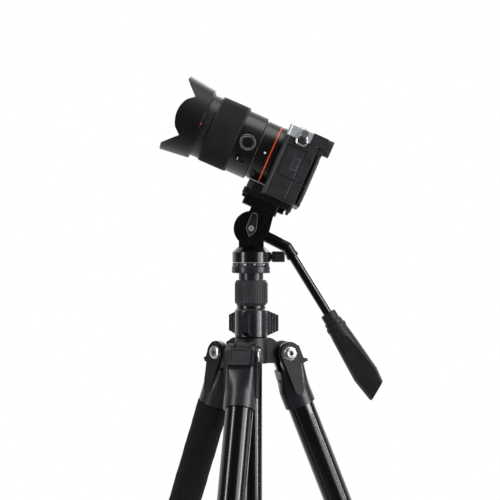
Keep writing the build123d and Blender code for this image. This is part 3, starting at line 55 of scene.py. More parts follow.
pivot = Vector(joints["tilt"]["pos_m"])
lensAxis = Vector(joints["focus_turn"]["axis"])
tiltAngle = math.atan2(lensAxis.z, -lensAxis.x)
# x to the back, z to the camera's top
tiltFrame = Matrix.Translation(pivot) @ Matrix.Rotation(tiltAngle, 4, "Y")
lensFoot = tiltFrame.inverted() @ Vector(joints["focus_turn"]["pos_m"])
# z runs out of the lens
lensFrame = tiltFrame @ Matrix.Translation(lensFoot) @ Matrix.Rotation(-math.pi / 2, 4, "Y")


def localBox(node, place):
    # a node's box in a frame of its own, from its vertices
    points = [place.inverted() @ v.co for v in frame["nodes"][node].data.vertices]
    columns = list(zip(*points))
    return [Vector([pick(c) for c in columns]) for pick in (min, max)]


# materials

def hexColour(code):
    channels = [int(code[i:i + 2], 16) / 255 for i in (1, 3, 5)]
    linear = [c / 12.92 if c <= 0.04045 else ((c + 0.055) / 1.055) ** 2.4 for c in channels]
    return (*linear, 1.0)


def addNode(tree, kind, links=None, **settings):
    node = tree.nodes.new(kind)
    for key, value in settings.items():
        setattr(node, key, value)
    for key, value in (links or {}).items():
        if isinstance(value, bpy.types.NodeSocket):
            tree.links.new(value, node.inputs[key])
        else:
            node.inputs[key].default_value = value
    return node


def startMaterial(name, **shaderValues):
    material = bpy.data.materials.new(name)
    material.use_nodes = True
    tree = material.node_tree
    tree.nodes.clear()
    values = {key.replace("_", " "): value for key, value in shaderValues.items()}
    shader = addNode(tree, "ShaderNodeBsdfPrincipled", values)
    addNode(tree, "ShaderNodeOutputMaterial", {"Surface": shader.outputs[0]})
    place = addNode(tree, "ShaderNodeTexCoord").outputs["Object"]
    return material, tree, shader, place


def perMetre(sizeMm):
    return 1000 / sizeMm  # texture scale for a pattern of this size


def mottle(tree, place, shader, dark, light, sizeMm):
    # soft change of tone over the surface
    noise = addNode(tree, "ShaderNodeTexNoise", {"Vector": place, "Scale": perMetre(sizeMm), "Detail": 4.0})
    ramp = addNode(tree, "ShaderNodeValToRGB", {"Fac": noise.outputs["Fac"]})
    first, last = ramp.color_ramp.elements
    first.position, last.position = 0.35, 0.68
    first.color, last.color = hexColour(dark), hexColour(light)
    tree.links.new(ramp.outputs["Color"], shader.inputs["Base Color"])
    return noise


def varyRoughness(tree, noise, shader, low, high):
    gloss = {"Value": noise.outputs["Fac"], "To Min": low, "To Max": high}
    spread = addNode(tree, "ShaderNodeMapRange", gloss)
    tree.links.new(spread.outputs["Result"], shader.inputs["Roughness"])


def grainBump(tree, height, shader, strength, depthMm):
    bump = addNode(tree, "ShaderNodeBump", {"Height": height, "Strength": strength, "Distance": depthMm * mm})
    tree.links.new(bump.outputs["Normal"], shader.inputs["Normal"])


def surface(name, tones, mottleMm, roughness, grain=None, **shaderValues):
    # tone and gloss vary; a grain is a texture, its size in mm, its settings, and the strength and depth in mm
    material, tree, shader, place = startMaterial(name, **shaderValues)
    varyRoughness(tree, mottle(tree, place, shader, *tones, mottleMm), shader, *roughness)
    if grain:
        kind, sizeMm, settings, strength, depthMm = grain
        texture = addNode(tree, "ShaderNodeTex" + kind, {"Vector": place, "Scale": perMetre(sizeMm), **settings})
        grainBump(tree, texture.outputs[0], shader, strength, depthMm)
    return material


def powderCoat(name, dark, light, roughness, gloss=0.45):
    # cast aluminium under a baked powder coat: satin black with a fine orange-peel grain
    peel = ("Noise", 0.8, {"Detail": 3.0}, 0.25, 0.06)
    spread = (roughness - 0.05, roughness + 0.07)
    return surface(name, (dark, light), 18.0, spread, peel, Specular_IOR_Level=gloss)


def mouldedPlastic(name, dark, light, roughness, grainMm=0.6, depthMm=0.05, gloss=0.5):
    # spark-textured injection moulding: even colour, broken highlight
    sparks = ("Voronoi", grainMm, {}, 0.3, depthMm)
    spread = (roughness - 0.04, roughness + 0.06)
    return surface(name, (dark, light), 25.0, spread, sparks, IOR=1.49, Specular_IOR_Level=gloss)


def anodisedTube(name, dark, light, roughness):
    # drawn aluminium, dyed black: deep colour with a long sharp highlight and faint draw marks
    drawn = ("Noise", 1.2, {"Detail": 2.0}, 0.06, 0.02)
    spread = (roughness - 0.03, roughness + 0.05)
    return surface(name, (dark, light), 60.0, spread, drawn, Metallic=0.35, Coat_Weight=0.35, Coat_Roughness=0.12)


# pebbles of about a millimetre, drawn a little coarse so that they show
pebbles = ("Voronoi", 1.0, {"Randomness": 0.9}, 0.8, 0.3)


def leatherette(name, dark, light):
    # embossed vinyl: small pebbles, each with its own soft highlight
    return surface(name, (dark, light), 12.0, (0.42, 0.55), pebbles, IOR=1.47, Specular_IOR_Level=0.35)


def coveredBody(name, plastic, hide, cover):
    # moulded camera shell whose grip and front carry the same vinyl as its side panels
    material, tree, shader, place = startMaterial(name, IOR=1.48, Specular_IOR_Level=0.35)
    back = tiltFrame.inverted()
    turned = {"Vector": place, "Location": back.translation, "Rotation": back.to_euler()}
    local = addNode(tree, "ShaderNodeMapping", turned)
    axes = addNode(tree, "ShaderNodeSeparateXYZ", {"Vector": local.outputs[0]})
    mask = None
    for axis, edge, side in cover:
        test = addNode(tree, "ShaderNodeMath", {0: axes.outputs[axis], 1: edge}, operation=side)
        if mask is not None:
            both = {0: mask.outputs[0], 1: test.outputs[0]}
            test = addNode(tree, "ShaderNodeMath", both, operation="MULTIPLY")
        mask = test
    noise = addNode(tree, "ShaderNodeTexNoise", {"Vector": place, "Scale": perMetre(14.0), "Detail": 4.0})
    tones = []
    for dark, light in (plastic, hide):
        ends = {0: noise.outputs["Fac"], 6: hexColour(dark), 7: hexColour(light)}
        tones.append(addNode(tree, "ShaderNodeMix", ends, data_type="RGBA").outputs[2])
    choice = {0: mask.outputs[0], 6: tones[0], 7: tones[1]}
    tone = addNode(tree, "ShaderNodeMix", choice, data_type="RGBA")
    tree.links.new(tone.outputs[2], shader.inputs["Base Color"])
    varyRoughness(tree, noise, shader, 0.38, 0.52)
    grain = addNode(tree, "ShaderNodeTexVoronoi", {"Vector": place, "Scale": perMetre(0.45)})
    fine = addNode(tree, "ShaderNodeMath", {0: grain.outputs["Distance"], 1: 0.15}, operation="MULTIPLY")
    kind, sizeMm, settings, strength, depthMm = pebbles
    hideGrain = {"Vector": place, "Scale": perMetre(sizeMm), **settings}
    coarse = addNode(tree, "ShaderNodeTex" + kind, hideGrain).outputs[0]
    height = addNode(tree, "ShaderNodeMix", {0: mask.outputs[0], 2: fine.outputs[0], 3: coarse})
    grainBump(tree, height.outputs[0], shader, strength, depthMm)
    return material


# the vinyl covers what passes all of these, in the tilted camera's own axes
bodyCover = [("Z", 38.4 * mm, "GREATER_THAN"), ("Z", 93.0 * mm, "LESS_THAN"), ("X", 12.0 * mm, "LESS_THAN"),
             ("Y", -40.4 * mm, "GREATER_THAN")]


def mouldedRubber(name, dark, light, roughness=0.72):
    # soft-touch rubber: matt, slightly dusty
    skin = ("Noise", 0.5, {"Detail": 3.0}, 0.2, 0.03)
    dust = {"Specular_IOR_Level": 0.3, "Sheen_Weight": 0.03, "Sheen_Roughness": 0.5}
    return surface(name, (dark, light), 9.0, (roughness - 0.06, roughness + 0.08), skin, IOR=1.5, **dust)


def closedCellFoam(name, dark, light):
    # skived foam sleeve: very matt, open pores of about a millimetre
    pores = ("Voronoi", 1.3, {"Randomness": 1.0}, 0.55, 0.25)
    dust = {"Specular_IOR_Level": 0.25, "Sheen_Weight": 0.03, "Sheen_Roughness": 0.6}
    return surface(name, (dark, light), 6.0, (0.86, 0.98), pores, IOR=1.4, **dust)


def platedSteel(name, dark, light, roughness):
    # nickel-plated steel: bright, with a few handling marks in the gloss
    marks = ("Noise", 0.7, {"Detail": 5.0}, 0.08, 0.02)
    return surface(name, (dark, light), 5.0, (roughness - 0.04, roughness + 0.1), marks, Metallic=1.0)


def satinPaint(name, dark, light, metallic, roughness):
    # metallic paint on magnesium: fine flake, soft highlight
    flake = ("Voronoi", 0.35, {}, 0.15, 0.03)
    return surface(name, (dark, light), 14.0, (roughness - 0.04, roughness + 0.05), flake, Metallic=metallic)


def coatedGlass(name, dark, light):
    # multi-coated optical glass: dark, with a cool tint and a hard clear reflection
    return surface(name, (dark, light), 22.0, (0.02, 0.05), IOR=1.52, Coat_Weight=1.0, Coat_Roughness=0.02)


def screenGlass(name, dark, light):
    # hardened cover glass over a dark display: black, with a soft-edged reflection
    return surface(name, (dark, light), 40.0, (0.06, 0.12), IOR=1.52, Coat_Weight=0.6, Coat_Roughness=0.04)


def enamelPaint(name, dark, light, roughness=0.35):
    # paint filled into a mark: even colour, slight gloss
    return surface(name, (dark, light), 3.0, (roughness - 0.05, roughness + 0.05))


finishes = {
    "castingCoat": powderCoat("castAluminiumPowderCoat", "#131418", "#1c1d22", 0.33),
    "canopyCoat": powderCoat("canopyPowderCoat", "#0d0d0f", "#141416", 0.42),
    "legTube": anodisedTube("anodisedLegTube", "#050506", "#0a0a0c", 0.2),
    "headCoat": powderCoat("headPowderCoat", "#050506", "#09090b", 0.25, 0.35),
    "panCoat": anodisedTube("anodisedPanBase", "#070708", "#0d0d0f", 0.24),
    "wingNylon": anodisedTube("glazedWingNylon", "#191a1e", "#232429", 0.27),
    "barPaint": anodisedTube("anodisedHandleBar", "#060607", "#0b0b0d", 0.2),
    "headPlastic": mouldedPlastic("headNylon", "#0a0a0b", "#101012", 0.4),
    "latchPlastic": mouldedPlastic("latchNylon", "#141518", "#1b1c20", 0.34, 0.7, 0.03),
    "cameraPlastic": mouldedPlastic("cameraPolycarbonate", "#1f1f22", "#2a2a2e", 0.36, 0.45, 0.04),
    "cameraRear": mouldedPlastic("rearPolycarbonate", "#121214", "#191a1c", 0.44, 0.5, 0.05),
    # grey trim paint for the door window's rim, and the painted highlight on the side crease and the tilt lever's
    # rim
    "greyTrimAndHighlight": satinPaint("greyTrimAndHighlightPaint", "#5a5b60", "#6e6f75", 0.4, 0.3),
    # grey enamel for the lens's grey line, and the painted highlight on the hold button's rings
    "greyMarkAndHighlight": enamelPaint("greyMarkAndHighlightEnamel", "#8b8c90", "#a3a4a8", 0.4),
    "leather": leatherette("bodyLeatherette", "#131316", "#1d1d21"),
    "cameraShell": coveredBody("coveredCameraShell", ("#18181b", "#222226"), ("#131316", "#1d1d21"),
                               bodyCover),
    "silver": satinPaint("silverBodyPaint", "#b6b9bd", "#bec1c5", 0.6, 0.36),
    "lensBlack": mouldedPlastic("lensPolycarbonate", "#070708", "#0d0d0f", 0.27, 0.5, 0.02),
    "lensBand": satinPaint("lensBandAnodised", "#2c2c2e", "#3a3a3d", 0.7, 0.36),
    "hoodPlastic": mouldedPlastic("hoodPolycarbonate", "#060607", "#0b0b0d", 0.38, 0.6, 0.03, 0.3),
    "focusRubber": mouldedRubber("focusRingRubber", "#09090a", "#101011", 0.62),
    "eyecupRubber": mouldedRubber("eyecupRubber", "#1b1b1d", "#252528", 0.7),
    "collarRubber": mouldedRubber("collarRubber", "#1d1e22", "#27282c", 0.52),
    "lockRubber": mouldedRubber("twistLockRubber", "#141517", "#1e1f22"),
    "gripRubber": mouldedRubber("handleGripRubber", "#070708", "#0d0d0e", 0.5),
    "footRubber": mouldedRubber("footRubber", "#121213", "#1b1b1d", 0.8),
    "foam": closedCellFoam("foamSleeve", "#060606", "#0d0d0d"),
    "greyRing": satinPaint("greyAnodisedRing", "#202125", "#2d2e33", 0.5, 0.3),
    "stripMetal": satinPaint("knurledStripMetal", "#3b3d41", "#4b4d51", 0.55, 0.42),
    "steel": platedSteel("platedSteel", "#c4c5c8", "#dcdde0", 0.27),
    "zinc": satinPaint("zincPlatedAxle", "#97989b", "#adaeb1", 0.5, 0.4),
    "darkSteel": platedSteel("blackenedSteel", "#1f2022", "#2b2c2f", 0.3),
    "glass": coatedGlass("coatedFrontGlass", "#0a0a14", "#1a1030"),
    "sensor": coatedGlass("sensorFilterGlass", "#20302f", "#38413f"),
    "screen": screenGlass("monitorGlass", "#070708", "#0d0d10"),
    "orange": enamelPaint("orangeRingEnamel", "#d8431a", "#ee5a2a"),
    "red": enamelPaint("redMarkEnamel", "#c8231b", "#df342a"),
    "white": enamelPaint("whiteMarkEnamel", "#dcdcda", "#f2f2f0", 0.5),
}
print("materials made:", len(finishes))

nodeFinish = {
    "canopy": "canopyCoat", "leg_hinge_bolts": "steel", "leg_casting": "castingCoat",
    "leg_latch": "latchPlastic", "upper_tube": "legTube", "middle_tube": "legTube",
    "lower_tube": "legTube", "twist_lock": "lockRubber", "foot": "footRubber", "foam_grip": "foam",
    "column_wing_lock": "wingNylon", "column_tube": "legTube", "column_twist_collar": "collarRubber",
    "head_base": "greyRing", "pan_base": "panCoat", "pan_lock_knob": "headPlastic",
    "tilt_body": "headCoat", "tilt_axle": "zinc", "tilt_lock_lever": "headPlastic",
    "handle_arm": "headCoat", "handle_bar": "barPaint", "handle_grip": "gripRubber",
    "qr_clamp": "headCoat", "qr_clamp_knob": "headPlastic", "qr_plate": "headPlastic",
    "camera_screw": "steel", "camera_body": "cameraShell", "camera_top_cover": "silver",
    "camera_monitor": "cameraRear", "eyecup": "eyecupRubber", "mode_dial": "cameraRear",
    "control_dial": "cameraRear", "shutter_button": "silver", "port_door": "leather",
    "battery_door": "cameraRear", "image_sensor": "sensor", "strap_lugs": "steel",
    "lens_barrel": "lensBlack", "focus_ring": "focusRubber", "lens_hood": "hoodPlastic",
    "front_element": "glass", "hold_button": "lensBlack", "lens_switch": "lensBlack",
}


def dressNodes():
    for name, node in frame["nodes"].items():
        key = max((k for k in nodeFinish if k in name), key=len)  # the longest name that fits
        node.data.materials.clear()
        node.data.materials.append(finishes[nodeFinish[key]])


dressNodes()
print("CAD nodes dressed")


# mesh helpers

def finishPiece(name, mesh, body, finish, place=None, bevel=0.0):
    if place is not None:
        mesh.transform(place)
    mesh.name = name
    piece = bpy.data.objects.new(name, mesh)
    bpy.context.collection.objects.link(piece)
    mesh.materials.clear()
    mesh.materials.append(finishes[finish])
    if bevel:
        edge = piece.modifiers.new("edge", "BEVEL")
        edge.width, edge.segments, edge.limit_method = bevel, 2, "ANGLE"
    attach(piece, body)
    return piece


def smoothByAngle(mesh, degrees=35.0):
    for face in mesh.polygons:
        face.use_smooth = True
    mesh.set_sharp_from_angle(angle=math.radians(degrees))


def meshFrom(build):
    work = bmesh.new()
    build(work)
    bmesh.ops.remove_doubles(work, verts=work.verts, dist=1e-7)
    bmesh.ops.recalc_face_normals(work, faces=work.faces)
    mesh = bpy.data.meshes.new("shape")
    work.to_mesh(mesh)
    work.free()
    return mesh


def bridgeLoops(loops):
    # closed skin through a closed row of loops, each with the same number of points
    def build(work):
        rings = [[work.verts.new(spot) for spot in loop] for loop in loops]
        for i, here in enumerate(rings):
            there = rings[(i + 1) % len(rings)]
            for k in range(len(here)):
                n = (k + 1) % len(here)
                corners = []
                for v in (here[k], there[k], there[n], here[n]):
                    if all((v.co - c.co).length > 1e-9 for c in corners):
                        corners.append(v)
                if len(corners) > 2:
                    work.faces.new(corners)
    mesh = meshFrom(build)
    smoothByAngle(mesh)
    return mesh


def turns(steps):
    return [2 * math.pi * i / steps for i in range(steps)]


def lathe(profile, steps=96):
    # ring from (radius, height) points, turned about z
    loops = [[(r * math.cos(t), r * math.sin(t), h) for r, h in profile] for t in turns(steps)]
    return bridgeLoops(loops)


def capProfile(radius, sunk, rise, edge, top):
    # round cap with a chamfered edge, closed by the points of its top
    return [(0, -sunk), (radius, -sunk), (radius, rise - edge), (radius - edge, rise)] + top


def bandProfile(inner, outer, low, high, edge):
    # flat band round an axis, chamfered outside
    return [(inner, low), (outer - edge, low), (outer, low + edge), (outer, high - edge), (outer - edge, high),
            (inner, high)]


def slab(outline, low, high):
    # flat plate with an outline in (x, y), from z low to z high
    def build(work):
        under = [work.verts.new((x, y, low)) for x, y in outline]
        over = [work.verts.new((x, y, high)) for x, y in outline]
        work.faces.new(under)
        work.faces.new(over)
        for i in range(len(outline)):
            n = (i + 1) % len(outline)
            work.faces.new([under[i], under[n], over[n], over[i]])
    mesh = meshFrom(build)
    smoothByAngle(mesh)
    return mesh


def roundedRectangle(x0, x1, y0, y1, radius, steps=5):
    left, right, low, high = x0 + radius, x1 - radius, y0 + radius, y1 - radius
    points = []
    for cx, cy, start in ((right, high, 0), (left, high, 90), (left, low, 180), (right, low, 270)):
        for i in range(steps + 1):
            angle = math.radians(start + 90 * i / steps)
            points.append((cx + radius * math.cos(angle), cy + radius * math.sin(angle)))
    return points


def frameSlab(outer, inner, low, high):
    # flat ring between two outlines with the same number of points
    pairs = zip(outer, inner)
    return bridgeLoops([[(*o, low), (*o, high), (*i, high), (*i, low)] for o, i in pairs])


def joinMeshes(meshes):
    work = bmesh.new()
    for mesh in meshes:
        work.from_mesh(mesh)
    whole = bpy.data.meshes.new("shapes")
    work.to_mesh(whole)
    work.free()
    smoothByAngle(whole)
    return whole


# Geometry Nodes: a row of copies round a ring or along a line

def copiesTree(shape):
    tree = bpy.data.node_groups.new(f"copies{shape.title()}", "GeometryNodeTree")
    face = tree.interface
    face.new_socket("Geometry", in_out="INPUT", socket_type="NodeSocketGeometry")
    sockets = {}
    for label, kind in (("Count", "Int"), ("Reach", "Float"), ("Copied Piece", "Object"), ("Finish", "Material")):
        socket = face.new_socket(label, in_out="INPUT", socket_type="NodeSocket" + kind)
        sockets[label] = socket.identifier
    face.new_socket("Geometry", in_out="OUTPUT", socket_type="NodeSocketGeometry")
    given = addNode(tree, "NodeGroupInput").outputs
    part = {"Object": given["Copied Piece"]}
    copied = addNode(tree, "GeometryNodeObjectInfo", part, transform_space="ORIGINAL")
    placed = {"Instance": copied.outputs["Geometry"]}
    if shape == "ring":
        points = addNode(tree, "GeometryNodeMeshCircle", {"Vertices": given["Count"], "Radius": given["Reach"]})
        index = addNode(tree, "GeometryNodeInputIndex")
        step = addNode(tree, "ShaderNodeMath", {0: 2 * math.pi, 1: given["Count"]}, operation="DIVIDE")
        angle = addNode(tree, "ShaderNodeMath", {0: index.outputs[0], 1: step.outputs[0]}, operation="MULTIPLY")
        placed["Rotation"] = addNode(tree, "ShaderNodeCombineXYZ", {"Z": angle.outputs[0]}).outputs[0]
    else:
        gap = addNode(tree, "ShaderNodeCombineXYZ", {"Z": given["Reach"]})
        points = addNode(tree, "GeometryNodeMeshLine", {"Count": given["Count"], "Offset": gap.outputs[0]})
    placed["Points"] = points.outputs["Mesh"]
    copies = addNode(tree, "GeometryNodeInstanceOnPoints", placed)
    solid = addNode(tree, "GeometryNodeRealizeInstances", {"Geometry": copies.outputs[0]})
    coat = {"Geometry": solid.outputs[0], "Material": given["Finish"]}
    addNode(tree, "NodeGroupOutput", {"Geometry": addNode(tree, "GeometryNodeSetMaterial", coat).outputs[0]})
    return tree, sockets


copyTrees = {shape: copiesTree(shape) for shape in ("ring", "line")}


def copiesMesh(shape, count, reach, partMesh, finish):
    tree, sockets = copyTrees[shape]
    part = bpy.data.objects.new("copiedPart", partMesh)
    holder = bpy.data.objects.new("copiesHolder", bpy.data.meshes.new("copiesHolder"))
    for item in (part, holder):
        bpy.context.collection.objects.link(item)
    row = holder.modifiers.new("copies", "NODES")
    row.node_group = tree
    values = {"Count": count, "Reach": reach, "Copied Piece": part, "Finish": finishes[finish]}
    for label, value in values.items():
        row[sockets[label]] = value
    holder.update_tag()
    graph = bpy.context.evaluated_depsgraph_get()
    mesh = bpy.data.meshes.new_from_object(holder.evaluated_get(graph), depsgraph=graph)
    holder.modifiers.remove(row)
    bpy.data.objects.remove(holder)
    bpy.data.objects.remove(part)
    smoothByAngle(mesh)
    return mesh


def bar(sizeX, sizeY, sizeZ, chamfer):
    # small chamfered bar with its foot centre at the origin, standing along z
    x, y = sizeX / 2, sizeY / 2
    outline = [(-x, -y), (x - chamfer, -y), (x, -y + chamfer), (x, y - chamfer), (x - chamfer, y), (-x, y)]
    return slab(outline, 0, sizeZ)


# where a piece sits on a CAD node

surfaces = {}
clear = 0.05  # metres outside a node where a line towards it starts
still = Matrix.Identity(4)


def touch(node, place, start, direction):
    # the point of a node's surface that a line meets, in the frame of place
    if node not in surfaces:
        mesh = frame["nodes"][node].data
        corners, faces = [v.co for v in mesh.vertices], [p.vertices for p in mesh.polygons]
        surfaces[node] = BVHTree.FromPolygons(corners, faces)
    heading = (place.to_3x3() @ Vector(direction)).normalized()
    return place.inverted() @ surfaces[node].ray_cast(place @ Vector(start), heading)[0]


def axesFrame(place, origin, alongX, alongY):
    # frame whose z is the outward normal of a face of the model
    x, y = Vector(alongX).normalized(), Vector(alongY).normalized()
    turn = Matrix((x, y, x.cross(y))).transposed().to_4x4()
    return place @ Matrix.Translation(Vector(origin)) @ turn


# camera body skin

sideSkin = {"thick": 0.45 * mm, "sunk": 0.1 * mm, "corner": 0.9 * mm, "edge": 0.18 * mm, "seam": 0.6 * mm,
            "frontSeam": 18.5 * mm, "front": 0.6 * mm, "back": 27.2 * mm, "top": 93.4 * mm, "base": 36.6 * mm,
            "doorInset": 0.25 * mm, "hingeInset": 1.85 * mm}
bodyLow, bodyHigh = localBox("camera_body", tiltFrame)
doorLow, doorHigh = localBox("port_door", tiltFrame)
sideFace = axesFrame(tiltFrame, (0, bodyLow.y, 0), (1, 0, 0), (0, 0, 1))
doorSkinTop = sideSkin["thick"] - (bodyLow.y - doorLow.y)


def makeSideSkin():
    s = sideSkin
    gap, low = s["seam"] / 2, -s["sunk"]
    columns = [(s["front"], s["frontSeam"] - gap), (s["frontSeam"] + gap, s["back"])]
    rows = [(s["base"], doorLow.z - s["seam"]), (doorLow.z, doorHigh.z), (doorHigh.z + s["seam"], s["top"])]
    plates = []
    for i, (x0, x1) in enumerate(columns):
        for k, (z0, z1) in enumerate(rows):
            if (i, k) != (0, 1):  # the door's own place
                outline = roundedRectangle(x0, x1, z0, z1, s["corner"])
                plates.append(slab(outline, low, s["thick"]))
    skin = joinMeshes(plates)
    finishPiece("cameraSideSkin", skin, "camera", "leather", sideFace, s["edge"])
    x0, x1 = doorLow.x + s["hingeInset"], doorHigh.x - s["doorInset"]
    z0, z1 = doorLow.z + s["doorInset"], doorHigh.z - s["doorInset"]
    doorSkin = slab(roundedRectangle(x0, x1, z0, z1, s["corner"]), low, doorSkinTop)
    finishPiece("portDoorSkin", doorSkin, "port_door", "leather", sideFace, s["edge"])


sideCreaseHighlight = {"x": 17.3 * mm, "wide": 0.32 * mm, "rise": 0.16 * mm, "inset": 1.2 * mm, "sunk": 0.1 * mm}


def makeCreaseHighlight():
    # fine raised crease line down the side, on the door and on the fixed plate below it; its light grey is a
    # painted highlight along the crease
    c = sideCreaseHighlight
    x0, x1 = c["x"], c["x"] + c["wide"]
    spans = {"doorCrease": ("port_door", doorSkinTop, doorLow.z, doorHigh.z),
             "baseCrease": ("camera", sideSkin["thick"], sideSkin["base"], doorLow.z - sideSkin["seam"])}
    for name, (body, level, z0, z1) in spans.items():
        outline = roundedRectangle(x0, x1, z0 + c["inset"], z1 - c["inset"], c["wide"] / 3)
        line = slab(outline, level - c["sunk"], level + c["rise"])
        finishPiece(name, line, body, "greyTrimAndHighlight", sideFace)


doorWindow = {"x0": 9.9 * mm, "x1": 16.5 * mm, "z0": 65.0 * mm, "z1": 77.0 * mm, "rim": 0.45 * mm,
              "foot": 0.2 * mm, "rise": 0.75 * mm, "floor": 0.5 * mm, "corner": 0.6 * mm, "innerCorner": 0.4 * mm}


def makeDoorWindow():
    w = doorWindow
    x0, x1, z0, z1, rim = (w[key] for key in ("x0", "x1", "z0", "z1", "rim"))
    outer = roundedRectangle(x0, x1, z0, z1, w["corner"])
    inner = roundedRectangle(x0 + rim, x1 - rim, z0 + rim, z1 - rim, w["innerCorner"])
    border = frameSlab(outer, inner, w["foot"], w["rise"])
    finishPiece("doorWindowRim", border, "port_door", "greyTrimAndHighlight", sideFace)
    floor = slab(inner, w["foot"], w["floor"])
    finishPiece("doorWindowFloor", floor, "port_door", "cameraPlastic", sideFace)


strapPlate = {"thick": 1.2 * mm, "wide": 7.6 * mm, "narrow": 4.6 * mm, "tall": 6.2 * mm, "out": 0.9 * mm,
              "below": 7.4 * mm, "edge": 0.25 * mm}


def makeStrapPlates():
    s = strapPlate
    low, high = localBox("strap_lugs", tiltFrame)
    narrow, wide, tall = s["narrow"] / 2, s["wide"] / 2, s["tall"]
    outline = [(-narrow, 0), (narrow, 0), (wide, -tall), (-wide, -tall)]
    plates = []
    for y, out in ((bodyLow.y, -1), (bodyHigh.y, 1)):
        spot = ((low.x + high.x) / 2, y + out * s["out"], high.z - s["below"])
        plate = slab(outline, 0, s["thick"])
        plate.transform(axesFrame(still, spot, (-out, 0, 0), (0, 0, 1)))
        plates.append(plate)
    pair = joinMeshes(plates)
    finishPiece("strapWearPlates", pair, "camera", "cameraRear", tiltFrame, s["edge"])


# camera back and top

rearButtons = {"radius": 2.3 * mm, "rise": 0.9 * mm, "aside": 1.0 * mm,
               "spots": ((-6.5, 50.0), (6.5, 48.0), (-7.5, 78.5), (5.0, 89.0), (-6.0, 89.5))}  # mm across and up
rearWheel = {"radius": 9.0 * mm, "hole": 4.6 * mm, "rise": 1.3 * mm, "up": 64.0 * mm, "outerEdge": 0.5 * mm,
             "innerEdge": 0.4 * mm, "gap": 0.5 * mm, "ribs": 44, "ribDeep": 0.5 * mm, "ribWide": 0.45 * mm,
             "ribOut": 0.1 * mm, "ribChamfer": 0.12 * mm}


def rearFace(y, z):
    spot = touch("camera_body", tiltFrame, (bodyHigh.x + clear, y, z), (-1, 0, 0))
    return axesFrame(tiltFrame, spot, (0, 1, 0), (0, 0, 1))


def buttonMesh(radius, rise):
    crown = [(radius * 0.5, rise * 0.93), (0, rise * 0.9)]
    return lathe(capProfile(radius, rise, rise, 0.3 * rise, crown), 40)


def makeRearControls():
    b, w = rearButtons, rearWheel
    middle = (localBox("camera_monitor", tiltFrame)[1].y + bodyHigh.y) / 2 + b["aside"]
    buttons = []
    for across, up in b["spots"]:
        button = buttonMesh(b["radius"], b["rise"])
        button.transform(rearFace(middle + across * mm, up * mm))
        buttons.append(button)
    finishPiece("rearButtons", joinMeshes(buttons), "camera", "cameraPlastic")
    rise, outer, hole = w["rise"], w["radius"], w["hole"]
    place = rearFace(middle, w["up"])
    profile = [(hole, -rise), (outer, -rise), (outer, rise * 0.6), (outer - w["outerEdge"], rise),
               (hole + w["innerEdge"], rise), (hole, rise * 0.7)]
    finishPiece("rearWheel", lathe(profile), "camera", "cameraRear", place)
    rib = bar(w["ribDeep"], w["ribWide"], rise * 0.55, w["ribChamfer"])
    ribs = copiesMesh("ring", w["ribs"], outer + w["ribOut"], rib, "cameraRear")
    finishPiece("rearWheelRibs", ribs, "camera", "cameraRear", place)
    centre = buttonMesh(hole - w["gap"], rise)
    finishPiece("rearWheelButton", centre, "camera", "cameraPlastic", place)


screenSet = {"margin": 3.2 * mm, "corner": 1.6 * mm, "sunk": 0.2 * mm, "rise": 0.35 * mm, "edge": 0.15 * mm}
eyepiece = {"margin": 4.4 * mm, "corner": 1.5 * mm, "sunk": 0.3 * mm, "rise": 0.4 * mm, "edge": 0.2 * mm,
            "deep": 2.0 * mm}


def rearGlass(node, x, sizes):
    # flat glass inside a node's border, seen from the back
    low, high = localBox(node, tiltFrame)
    m = sizes["margin"]
    outline = roundedRectangle(low.y + m, high.y - m, low.z + m, high.z - m, sizes["corner"])
    place = axesFrame(tiltFrame, (x, 0, 0), (0, 1, 0), (0, 0, 1))
    return slab(outline, -sizes["sunk"], sizes["rise"]), place


def makeScreen():
    back = localBox("camera_monitor", tiltFrame)[1].x
    glass, place = rearGlass("camera_monitor", back, screenSet)
    finishPiece("monitorScreen", glass, "camera_monitor", "screen", place, screenSet["edge"])


def makeEyepiece():
    front = localBox("eyecup", tiltFrame)[0].x
    glass, place = rearGlass("eyecup", front + eyepiece["deep"], eyepiece)
    finishPiece("eyepieceGlass", glass, "camera", "glass", place, eyepiece["edge"])


shoeRail = {"length": 17.0 * mm, "gap": 6.4 * mm, "half": 9.6 * mm, "thick": 0.7 * mm, "centre": 7.0 * mm,
            "corner": 0.5 * mm, "sunk": 0.4 * mm, "edge": 0.15 * mm}


def makeShoeRails():
    s = shoeRail
    foot = localBox("camera_top_cover", tiltFrame)[1].z - s["sunk"]
    x0, x1 = s["centre"] - s["length"] / 2, s["centre"] + s["length"] / 2
    rails = []
    for side in (-1, 1):
        y0, y1 = sorted((side * s["gap"], side * s["half"]))
        rails.append(slab(roundedRectangle(x0, x1, y0, y1, s["corner"]), foot, foot + s["thick"]))
    finishPiece("shoeRails", joinMeshes(rails), "camera", "steel", tiltFrame, s["edge"])


powerRing = {"gap": 0.5 * mm, "wide": 1.9 * mm, "tall": 1.5 * mm, "edge": 0.25 * mm, "sunk": 0.3 * mm,
             "lever": 2.4 * mm, "leverHalf": 1.4 * mm, "leverTall": 1.2 * mm, "leverFoot": 0.15 * mm,
             "leverCorner": 0.8 * mm, "overlap": 0.4 * mm, "turn": 150, "bevel": 0.12 * mm}


